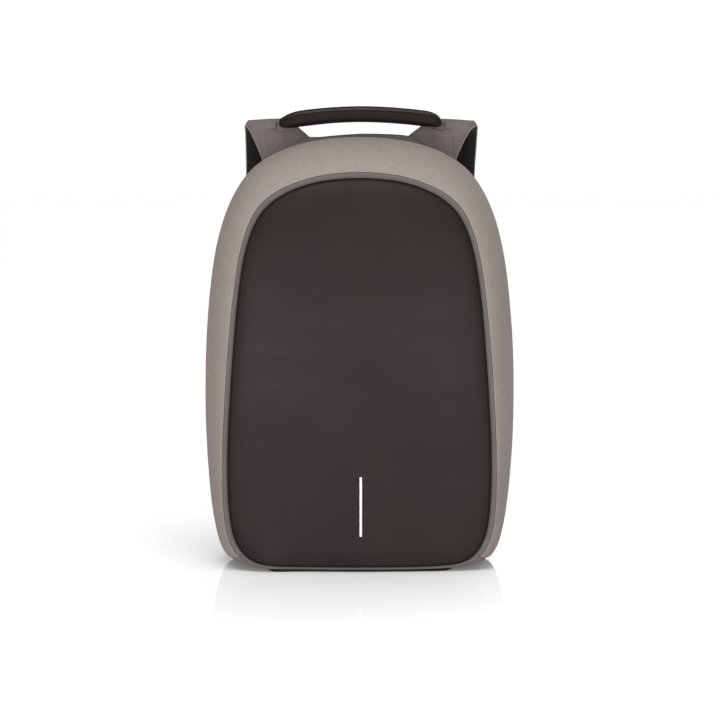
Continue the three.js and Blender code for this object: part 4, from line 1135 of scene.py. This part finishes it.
def cushion_grid():
    """Rows that follow the slanting cross channels, columns that taper with the back; sewn marks the channels and border."""
    cut = {30.2: 0.0, **{z: rise for z, rise in CHANNELS}, PAD_TOP: 0.0}
    keys = sorted(cut)
    rows = [30.2, 31.2, 33.0, 35.6, 39.0]
    marks = [39.0] + [z + h for z, _ in CHANNELS for h in (-CHANNEL_HALF, CHANNEL_HALF)] + [333.5]
    for a, c in zip(marks[:-1], marks[1:]):
        n = max(2, int(round((c - a) / 3.9)))
        rows += list(np.linspace(a, c, n + 1)[1:])
    rows += [336.2, 338.6, 340.2, PAD_TOP]
    rows = np.array(rows)
    share = [0.0] + list(np.linspace(0, SPINE_HALF / 116, 4)[1:])
    share += list(np.linspace(SPINE_HALF / 116, 0.93, 27)[1:]) + [0.952, 0.972, 0.987, 0.996, 1.0]
    share = np.array(share)
    share = np.concatenate([-share[:0:-1], share])
    right = outline[outline[:, 0] > 0]
    order = np.argsort(right[:, 1])
    zs, xs = right[order, 1], right[order, 0]
    width = np.interp(rows, zs, xs)
    width = np.where(rows > 338, np.interp(rows, [338, PAD_TOP], [np.interp(338, zs, xs), np.interp(338, zs, xs) - 3.5]), width)
    width = np.where(rows < 33, np.interp(rows, [30.2, 33], [np.interp(33, zs, xs) - 6.0, np.interp(33, zs, xs)]), width)
    x = width[:, None] * share[None]
    lean = np.interp(rows, keys, [cut[k] for k in keys])
    z = rows[:, None] + lean[:, None] * np.abs(x)
    # near the border the rows follow the outline again
    z = rows[:, None] + (z - rows[:, None]) * smooth01(np.minimum(rows - 30, PAD_TOP - rows) / 26)[:, None]
    edge = np.minimum(np.minimum(rows - 30.2, PAD_TOP - rows)[:, None], width[:, None] * (1 - np.abs(share))[None])
    in_channel = np.zeros(x.shape, bool)
    for z0, _ in CHANNELS:
        in_channel |= (np.abs(rows - z0) <= CHANNEL_HALF + 0.1)[:, None]
    in_channel |= (np.abs(share) <= SPINE_HALF / 116 + 1e-6)[None]
    return x, z, edge, in_channel


x, z, edge, in_channel = cushion_grid()
border = edge < 7.0
low = np.where(in_channel & ~border, 1.3, 0.0)
start = np.where(in_channel | border, 0.0, 1.6)
y = PAD_BACK - low + start - 4.4 * (1 - np.sqrt(1 - (1 - np.clip(edge / 4.4, 0, 1)) ** 2))
ni, nj = x.shape
p = np.stack([x, y, z], -1).reshape(-1, 3)
k = np.arange(ni * nj).reshape(ni, nj)
quads = np.stack([k[:-1, :-1], k[:-1, 1:], k[1:, 1:], k[1:, :-1]], -1).reshape(-1, 4)
sewn = (in_channel | border).reshape(-1)
# the faces look to the back, so that the pressure pushes that way
a, c, d = p[quads[0, 0]], p[quads[0, 1]], p[quads[0, 2]]
if np.cross(c - a, d - a)[1] < 0:
    quads = quads[:, ::-1]
q = inflate(p, quads.tolist(), sewn, SWELL_CAP)
g = q.reshape(ni, nj, 3).copy()
# the foam behind the cover evens out its smallest folds
free = ~sewn.reshape(ni, nj)[1:-1, 1:-1, None]
for _ in range(5):
    mean = (g[:-2, 1:-1] + g[2:, 1:-1] + g[1:-1, :-2] + g[1:-1, 2:]) / 4
    g[1:-1, 1:-1] = np.where(free, g[1:-1, 1:-1] * 0.35 + mean * 0.65, g[1:-1, 1:-1])


def halved(g):
    """One subdivision: a smooth curve through the points both ways."""
    for axis in (0, 1):
        n = g.shape[axis]
        g = np.moveaxis(g, axis, 0)
        t = np.arange(n)
        before, after = g[np.maximum(t[:-1] - 1, 0)], g[np.minimum(t[1:] + 1, n - 1)]
        middle = (9 * (g[:-1] + g[1:]) - before - after) / 16
        out = np.empty((2 * n - 1,) + g.shape[1:])
        out[::2], out[1::2] = g, middle
        g = np.moveaxis(out, 0, axis)
    return g


g = halved(g)
# a sewn line pressed in beside the border comes after the simulation
ni, nj = g.shape[:2]
w = np.zeros((ni, nj, 1))
w[..., 0] = halved(edge[..., None])[..., 0]
g[..., 1] -= 0.55 * np.exp(-(((w[..., 0] - 6.6) / 1.1) ** 2))
g[..., 1] = np.minimum(g[..., 1], PAD_BACK + 7.2)
b = Builder()
base0 = b.grid(g)
rim = [(0, j) for j in range(nj)] + [(i, nj - 1) for i in range(1, ni)] + [(ni - 1, j) for j in range(nj - 2, -1, -1)] + [(i, 0) for i in range(ni - 2, 0, -1)]
ring = np.array([g[i, j] for i, j in rim])
wall = ring.copy()
wall[:, 1] = 0.35
base1 = b.n
b.v.append(wall)
b.n += len(wall)
n = len(rim)
for e in range(n):
    i0, j0 = rim[e]
    i1, j1 = rim[(e + 1) % n]
    b.f.append([base0 + i0 * nj + j0, base0 + i1 * nj + j1, base1 + (e + 1) % n, base1 + e])
b.m.append(np.zeros(n, int))
b.cap([base1 + e for e in range(n)])
fix_flat_uv(b)
pad = b.make("back_cushion", [M["mesh"]], ["back_pad"], "mesh_fabric")

# ------------------------------------------------------------------ zip
TAPE_BACK = -1.6
s = np.arange(0, AROUND, 1 / 10)


def band(outer, inner, front, back, count=6):
    """Closed flat band round the bag between two insets, from the shell's outline."""
    layers = [xyz(drawn_in(s, outer), front)]
    for w in np.linspace(0, 1, count):
        layers.append(xyz(drawn_in(s, outer + (inner - outer) * w), back))
    layers.append(xyz(drawn_in(s, inner), front))
    return np.stack(layers, 1)


b = Builder()
b.grid(band(15.2, 28.4, -3.4, TAPE_BACK, 8), wrap_i=True, wrap_j=True)
b.make("zip_tape_band", [M["tape"]], ["zip_tape"], "zip_tape")

# coil: many small turns of one spiral on both sides of the middle line
COIL_IN = 22.0
fine = np.linspace(5.6, AROUND - 5.6, 6000)
mid_line = drawn_in(fine, COIL_IN)
length = np.concatenate([[0], np.cumsum(np.linalg.norm(np.diff(mid_line, axis=0), axis=1))])
PITCH = 1.9
turns = int(length[-1] / PITCH)
b = Builder()
core = []
pos = np.interp((np.arange(turns) + 0.5) * PITCH, length, fine)
c = drawn_in(pos, COIL_IN)
tang = unit(drawn_in(pos + 0.02, COIL_IN) - drawn_in(pos - 0.02, COIL_IN))
side_v = np.stack([tang[:, 1], -tang[:, 0]], 1)
tooth = []  # a rounded bar across the coil, seen from behind
for across, size in ((-2.5, 0.0), (-2.3, 0.7), (-1.2, 1.0), (-0.2, 0.86), (0.2, 0.86), (1.2, 1.0), (2.3, 0.7), (2.5, 0.0)):
    tooth.append((across, size))
tv, tf = [], []
sides = 5
for k, (across, size) in enumerate(tooth):
    if size == 0:
        tv.append((across, 0.0, 0.45))
    else:
        for a in range(sides):
            ang = math.pi * a / (sides - 1)
            tv.append((across, math.cos(ang) * 0.72 * size, math.sin(ang) * 1.35 * size))
tv = np.array(tv)
last = len(tv) - 1
ring_of = lambda r: 1 + r * sides
for a in range(sides - 1):
    tf.append([0, ring_of(0) + a + 1, ring_of(0) + a])
    tf.append([last, ring_of(5) + a, ring_of(5) + a + 1])
tf.append([0, ring_of(0), ring_of(0) + sides - 1])
tf.append([last, ring_of(5) + sides - 1, ring_of(5)])
for r in range(5):
    for a in range(sides - 1):
        tf.append([ring_of(r) + a, ring_of(r) + a + 1, ring_of(r + 1) + a + 1, ring_of(r + 1) + a])
    tf.append([ring_of(r) + sides - 1, ring_of(r), ring_of(r + 1), ring_of(r + 1) + sides - 1])
verts = []
faces = []
for i in range(turns):
    q = c[i] + tv[:, :1] * side_v[i] + tv[:, 1:2] * tang[i]
    verts.append(np.stack([q[:, 0], TAPE_BACK + 0.02 + tv[:, 2], q[:, 1]], 1))
    faces += [[x + i * len(tv) for x in f] for f in tf]
b.raw(np.concatenate(verts), faces)
b.make("zip_coil_turns", [M["coil"]], ["zip_coil"], "zip_parts")

# threads that hold the coil to its tape
b = Builder()
for inset in (COIL_IN - 3.6, COIL_IN + 3.6):
    q = xyz(drawn_in(np.linspace(0, AROUND, 1500), inset), TAPE_BACK)
    stitches(b, q, np.tile([0, 1.0, 0], (len(q), 1)), length=2.2, gap=0.8, width=0.6, height=0.45, lift=0.08)
b.make("zip_threads", [M["thread_black"]], (), "zip_tape")


def slider(station, way, name):
    """A pressed slider body with a bridge, and a pull of moulded cord."""
    at_mid = drawn_in(np.array([station]), COIL_IN)[0]
    t = unit(drawn_in(np.array([station + 0.05]), COIL_IN) - drawn_in(np.array([station - 0.05]), COIL_IN))[0] * way
    sd = np.array([t[1], -t[0]])
    y0 = TAPE_BACK + 1.55

    def put(u, w, h):
        """u along, w across, h out of the back."""
        return np.stack([at_mid[0] + t[0] * u + sd[0] * w, y0 + h, at_mid[1] + t[1] * u + sd[1] * w], -1)

    b = Builder()
    outline = [(-5.4, 2.9), (-4.2, 4.1), (-1.0, 4.2), (3.0, 3.5), (5.0, 3.1), (5.6, 2.2)]
    poly = outline + [(u, -w) for u, w in outline[::-1]]
    poly = catmull(poly, 3, closed=True)
    layers = []
    for h, k in ((0.0, 0.94), (0.12, 1.0), (0.9, 1.0), (1.15, 0.95), (1.2, 0.85), (1.25, 0.45)):
        layers.append(put(poly[:, 0] * k, poly[:, 1] * k, np.full(len(poly), h)))
    g = np.stack(layers)
    base0 = b.grid(g, wrap_j=True)
    n = len(poly)
    b.cap([base0 + k for k in range(n)], flip=True)
    b.cap([base0 + (len(layers) - 1) * n + k for k in range(n)])
    # bridge
    bridge = catmull([(-4.0, 0.9), (-3.6, 2.2), (-1.6, 3.0), (1.6, 3.0), (3.6, 2.2), (4.0, 0.9)], 5)
    ring = []
    for u, h in bridge:
        ring.append(np.stack([put(u, w, h + dh) for w, dh in ((-1.1, -0.35), (1.1, -0.35), (1.25, 0.1), (0.8, 0.45), (-0.8, 0.45), (-1.25, 0.1))]))
    g = np.stack(ring)
    base0 = b.grid(g, wrap_j=True)
    b.cap([base0 + k for k in range(6)], flip=True)
    b.cap([base0 + (len(g) - 1) * 6 + k for k in range(6)])
    ob = b.make("slider_" + name, [M["slider"]], ["zip_slider_" + name], "zip_parts", sharp=40)
    # pull: a loop through the bridge that runs into a flat grip
    b = Builder()
    loop = catmull([(7.5, 0.9, 0.75), (5.6, 1.0, 1.25), (3.4, 1.35, 1.15), (1.2, 1.75, 0.5), (0.9, 1.8, 0.0), (1.2, 1.75, -0.5), (3.4, 1.35, -1.15), (5.6, 1.0, -1.25), (7.5, 0.9, -0.75)], 5)
    path = np.stack([put(u, w, h) for u, h, w in loop])
    g = tube(path, 0.55, 8, closed=False)
    base0 = b.grid(g, wrap_j=True)
    b.cap([base0 + k for k in range(8)], flip=True)
    b.cap([base0 + (len(g) - 1) * 8 + k for k in range(8)])
    grip = []
    for u, w, h in ((6.6, 0.9, 0.5), (7.0, 1.7, 0.9), (9.0, 2.0, 1.15), (14, 2.1, 1.2), (20, 2.2, 1.2), (25, 2.2, 1.1), (26.6, 1.8, 0.9), (27.2, 0.9, 0.4)):
        ang = np.linspace(0, 2 * math.pi, 17)[:-1]
        grip.append(np.stack([put(u, w * math.copysign(abs(math.cos(a)) ** 0.6, math.cos(a)), 0.95 + 0.8 * h * math.copysign(abs(math.sin(a)) ** 0.6, math.sin(a))) for a in ang]))
    g = np.stack(grip)
    base0 = b.grid(g, wrap_j=True)
    b.cap([base0 + k for k in range(16)], flip=True)
    b.cap([base0 + (len(g) - 1) * 16 + k for k in range(16)])
    b.make("slider_pull_" + name, [M["plastic"]], (), "zip_parts", sharp=50)
    return ob


slider(9.0, -1, "lower")
slider(9.42, 1, "upper")

# ------------------------------------------------------------------ lower straps
END_WAY = np.array([0.111, -0.241, -0.964])
WEB_BELOW = [(98, 13.2, 40), (98.2, 13.6, 58), (100.6, 17.6, 100)]
WEB_AT_BUCKLE = [(-16, -4.2), (0.5, -3.7), (5.2, -3.7), (7.6, 0), (5.2, 3.7), (0.5, 3.8), (-16, 4.2), (-34, 4.6), (-56, 5.6)]


def lower_strap(side):
    name = "right" if side > 0 else "left"
    end = np.array([side * 99.0, 37.0, 184.0])
    down = unit(END_WAY * np.array([side, 1, 1]))
    hang = end + down * 25
    up = -down
    across = unit(np.array([1.0, 0, 0]) - up * up[0])
    out = np.cross(up, across)
    pts = [np.array([side * x, y, z]) for x, y, z in WEB_BELOW] + [hang + up * a + out * o for a, o in WEB_AT_BUCKLE]
    path = centripetal(pts, 14)
    t = unit(np.gradient(path, axis=0))
    t2 = t.copy()
    t2[:, 0] = 0
    t2 = unit(t2)
    th = np.cross(t2, np.array([1.0, 0, 0]))
    w, h = 11.0, 0.85
    sect = [(-1, -0.55), (-0.985, -0.9), (-0.95, -1), (0, -1.06), (0.95, -1), (0.985, -0.9), (1, -0.55), (1, 0.55), (0.985, 0.9), (0.95, 1), (0, 1.06), (-0.95, 1), (-0.985, 0.9), (-1, 0.55)]
    g = np.stack([path + np.array([a * w, 0, 0]) + th * (c * h) for a, c in sect], 1)
    b = Builder()
    run = np.concatenate([[0], np.cumsum(np.linalg.norm(np.diff(path, axis=0), axis=1))])
    vv = np.array([0, 0.4, 0.9, 11, 21, 21.6, 22, 23.2, 23.6, 24, 34, 44, 44.6, 45, 46.2])
    base0 = b.grid(g, wrap_j=True, u=np.append(run, run[-1]), v=vv)
    n = len(sect)
    b.cap([base0 + k for k in range(n)], flip=True)
    b.cap([base0 + (len(g) - 1) * n + k for k in range(n)])
    # the tail's folded hem
    tail = path[-9:]
    hem = [path[-1] + th[-1] * 1.75 + np.array([a * w, 0, 0]) for a in (-1, 1)]
    rows = []
    for k in range(9):
        o = th[-9 + k] * 1.78
        rows.append(np.stack([tail[k] + o + np.array([a * w * 0.995, 0, 0]) + th[-9 + k] * (c * h * 0.95) for a, c in sect]))
    g2 = np.stack(rows)
    base0 = b.grid(g2, wrap_j=True)
    b.cap([base0 + k for k in range(n)], flip=True)
    b.cap([base0 + (len(g2) - 1) * n + k for k in range(n)])
    b.make("webbing_band_" + name, [M["web"]], ["webbing_" + name], "webbing", sharp=50)

    def loc(x, o, a):
        return hang + across * x + out * o + up * a

    # ladder buckle: rounded frame with a raised gripping bar
    b = Builder()

    def bar(points, ru, ro, sides=12):
        """A rounded bar along points (x, out, up) with half sizes ru in the frame's plane and ro through it."""
        q = centripetal(points, 5)
        ang = np.linspace(0, 2 * math.pi, sides + 1)[:-1]
        tt = unit(np.gradient(q, axis=0))
        n1 = unit(np.cross(tt, np.array([0, 1.0, 0])))
        rows = []
        for k in range(len(q)):
            rows.append(np.stack([loc(*(q[k] + n1[k] * ru * math.copysign(abs(math.cos(a)) ** 0.55, math.cos(a)) + np.array([0, 1.0, 0]) * ro * math.copysign(abs(math.sin(a)) ** 0.55, math.sin(a)))) for a in ang]))
        g = np.stack(rows)
        base0 = b.grid(g, wrap_j=True)
        b.cap([base0 + k for k in range(sides)], flip=True)
        b.cap([base0 + (len(g) - 1) * sides + k for k in range(sides)])

    hw, hh = 16.0, 18.0
    frame_path = [(-11, 0, hh - 2), (-hw + 3.4, 0, hh - 2.3), (-hw + 2, 0, hh - 5), (-hw + 2, 0, 0), (-hw + 2, 0, -hh + 5), (-hw + 3.4, 0, -hh + 2.2), (-11, 0, -hh + 1.8), (0, 0.5, -hh + 1.8), (11, 0, -hh + 1.8), (hw - 3.4, 0, -hh + 2.2), (hw - 2, 0, -hh + 5), (hw - 2, 0, 0), (hw - 2, 0, hh - 5), (hw - 3.4, 0, hh - 2.3), (11, 0, hh - 2), (0, 0, hh - 2), (-11, 0, hh - 2)]
    bar(frame_path, 2.0, 1.9)
    bar([(-13.5, 0, 2.4), (0, 0, 2.4), (13.5, 0, 2.4)], 2.0, 1.75)
    for x in np.linspace(-10, 10, 9):
        bar([(x, -0.6, 4.5), (x, -0.2, 4.75), (x, 0.6, 4.5)], 0.35, 0.35, 6)
    b.make("ladder_buckle_" + name, [M["plastic"]], ["buckle_" + name], "buckle_plastic", sharp=60)

    # folded loop between the strap's end and the buckle
    line = centripetal([(0, -2.6, 25.5), (0, -3.2, 18), (0, -2.9, 14.2), (0, 0, 12.3), (0, 2.9, 14.2), (0, 3.2, 18), (0, 2.6, 25.5)], 7)
    tt = unit(np.gradient(line, axis=0))
    nn = np.cross(tt, np.array([1.0, 0, 0]))
    rows = []
    for k in range(len(line)):
        rows.append(np.stack([loc(*(line[k] + np.array([a * 10.6, 0, 0]) + nn[k] * c * 0.65)) for a, c in sect]))
    g = np.stack(rows)
    b = Builder()
    base0 = b.grid(g, wrap_j=True)
    b.cap([base0 + k for k in range(n)], flip=True)
    b.cap([base0 + (len(g) - 1) * n + k for k in range(n)])
    b.make("buckle_fold_" + name, [M["web"]], ["buckle_loop_" + name], "webbing", sharp=50)

    # triangular anchor, sewn down with a box of thread
    ax, az = side * 98.0, 48.0
    poly = np.array([(-15, -17), (15, -17), (15, -6), (14, 2), (11.5, 15.5), (10, 17), (-10, 17), (-11.5, 15.5), (-14, 2), (-15, -6)], float)
    poly = soften(catmull(poly, 6, closed=True), 2) + np.array([ax, az])
    b = pillow(poly, (ax, az), 8.6, 11.6, 1.0, rings=6)
    b.make("anchor_patch_" + name, [M["black"]], ["strap_anchor_" + name], "black_fabric")
    thr = Builder()
    front = np.array([0, 1.0, 0])
    box = [(-9, 1), (9, 1), (9, 13), (-9, 13), (-9, 1), (9, 13)], [(-9, 13), (9, 1)]
    for line2 in box:
        q = np.array([(ax + x, 14.15, az + z - 6) for x, z in line2])
        for i in range(len(q) - 1):
            seg = np.linspace(q[i], q[i + 1], 20)
            # thread lies on the webbing, which bends slightly
            seg[:, 1] = np.interp(seg[:, 2], [40, 58, 100], [14.1, 14.5, 18.5])
            stitches(thr, seg, np.tile(front, (20, 1)), length=1.9, gap=0.7, width=0.6, height=0.5)
    thr.make("anchor_thread_" + name, [M["thread_black"]], (), "webbing")


for side in (1, -1):
    lower_strap(side)

# ------------------------------------------------------------------ floor, light, camera
bpy.ops.mesh.primitive_plane_add(size=30, location=(0, 0, -0.0002))
floor = bpy.context.object
floor.name = "floor"
k = Nodes("floor_paper")
k.bsdf.inputs["Base Color"].default_value = (0.945, 0.955, 0.985, 1)
k.bsdf.inputs["Emission Color"].default_value = (1, 1, 1, 1)
k.bsdf.inputs["Emission Strength"].default_value = 0.095
k.bsdf.inputs["Roughness"].default_value = 0.9
k.bsdf.inputs["Specular IOR Level"].default_value = 0.0
gloss = k.add("ShaderNodeBsdfGlossy")
gloss.inputs["Roughness"].default_value = 0.06
gloss.inputs["Color"].default_value = (1, 1, 1, 1)
length = k.add("ShaderNodeVectorMath", operation="LENGTH")
k.link(k.place(), length.inputs[0])
mixer = k.add("ShaderNodeMixShader")
k.link(k.remap(length.outputs["Value"], 0.10, 0.42, 0.29, 0.0), mixer.inputs[0])
k.link(k.bsdf.outputs[0], mixer.inputs[1])
k.link(gloss.outputs[0], mixer.inputs[2])
k.link(mixer.outputs[0], k.t.nodes["Material Output"].inputs["Surface"])
floor.data.materials.append(k.mat)


def softbox(name, place, look, w, h, power, colour=(1, 1, 1)):
    light = bpy.data.lights.new(name, "AREA")
    light.shape = "RECTANGLE"
    light.size, light.size_y = w, h
    light.energy = power
    light.color = colour
    ob = bpy.data.objects.new(name, light)
    bpy.context.scene.collection.objects.link(ob)
    from mathutils import Vector
    ob.location = place
    ob.rotation_euler = (Vector(look) - Vector(place)).to_track_quat("-Z", "Y").to_euler()
    return ob


def sun(name, azimuth, elevation, power, angle, colour=(1, 1, 1)):
    """A wide far light: azimuth 0 stands in front of the bag, + to its right side."""
    light = bpy.data.lights.new(name, "SUN")
    light.energy, light.angle, light.color = power, math.radians(angle), colour
    ob = bpy.data.objects.new(name, light)
    bpy.context.scene.collection.objects.link(ob)
    a, e = math.radians(azimuth), math.radians(elevation)
    from mathutils import Vector
    ob.rotation_euler = Vector((math.sin(a) * math.cos(e), -math.cos(a) * math.cos(e), math.sin(e))).to_track_quat("Z", "Y").to_euler()
    return ob


softbox("left", (-1.0, -2.6, 0.36), (0, 0, 0.2), 0.9, 0.9, 35)
softbox("right", (1.05, -2.6, 0.42), (0, 0, 0.2), 0.9, 0.9, 25)
sun("rear", 160, 20, 0.62, 40)
sun("overhead", -6, 77, 2.0, 42, (1.0, 0.965, 0.895))

world = bpy.data.worlds.new("studio")
bpy.context.scene.world = world
world.use_nodes = True
wt = world.node_tree
bg = wt.nodes["Background"]
bg.inputs["Color"].default_value = (1, 1, 1, 1)
# the backdrop is bright behind the bag and dimmer elsewhere
where = wt.nodes.new("ShaderNodeTexCoord")
parts = wt.nodes.new("ShaderNodeSeparateXYZ")
wt.links.new(where.outputs["Generated"], parts.inputs[0])
def graded(low, high, at_low, at_high, axis="Y"):
    n = wt.nodes.new("ShaderNodeMapRange")
    n.inputs["From Min"].default_value, n.inputs["From Max"].default_value = low, high
    n.inputs["To Min"].default_value, n.inputs["To Max"].default_value = at_low, at_high
    wt.links.new(parts.outputs[axis], n.inputs["Value"])
    return n.outputs["Result"]


both = wt.nodes.new("ShaderNodeMath")
both.operation = "ADD"
wt.links.new(graded(0.88, 0.97, 0.0, 0.62), both.inputs[0])
wt.links.new(graded(-0.9, 0.1, 0.74, 0.27), both.inputs[1])
dimmed = wt.nodes.new("ShaderNodeMath")
dimmed.operation = "MULTIPLY"
wt.links.new(both.outputs[0], dimmed.inputs[0])
wt.links.new(graded(0.15, 0.6, 1.0, 0.62, "Z"), dimmed.inputs[1])
wt.links.new(dimmed.outputs[0], bg.inputs["Strength"])
seen = wt.nodes.new("ShaderNodeBackground")
seen.inputs["Color"].default_value = (1, 1, 1, 1)
seen.inputs["Strength"].default_value = 1.05
path_node = wt.nodes.new("ShaderNodeLightPath")
mixer = wt.nodes.new("ShaderNodeMixShader")
wt.links.new(path_node.outputs["Is Camera Ray"], mixer.inputs[0])
wt.links.new(bg.outputs[0], mixer.inputs[1])
wt.links.new(seen.outputs[0], mixer.inputs[2])
wt.links.new(mixer.outputs[0], wt.nodes["World Output"].inputs["Surface"])

E = math.radians(5.0)
cam_data = bpy.data.cameras.new("camera")
cam = bpy.data.objects.new("camera", cam_data)
bpy.context.scene.collection.objects.link(cam)
cam_data.sensor_width = 36.0
cam_data.lens = 36.0 * 2578.9 / 720.0
cam_data.clip_start, cam_data.clip_end = 0.05, 60
distance = 2500.0
target = np.array([0.49, -50.0 + SHIFT_Y, 193.0])
place = target - np.array([0, math.cos(E), -math.sin(E)]) * distance
cam.location = place * 0.001
cam.rotation_euler = (math.radians(85), 0, 0)
bpy.context.scene.camera = cam

scene = bpy.context.scene
scene.view_settings.view_transform = "Standard"
scene.view_settings.look = "None"
scene.view_settings.exposure = 0.0
scene.view_settings.gamma = 1.0
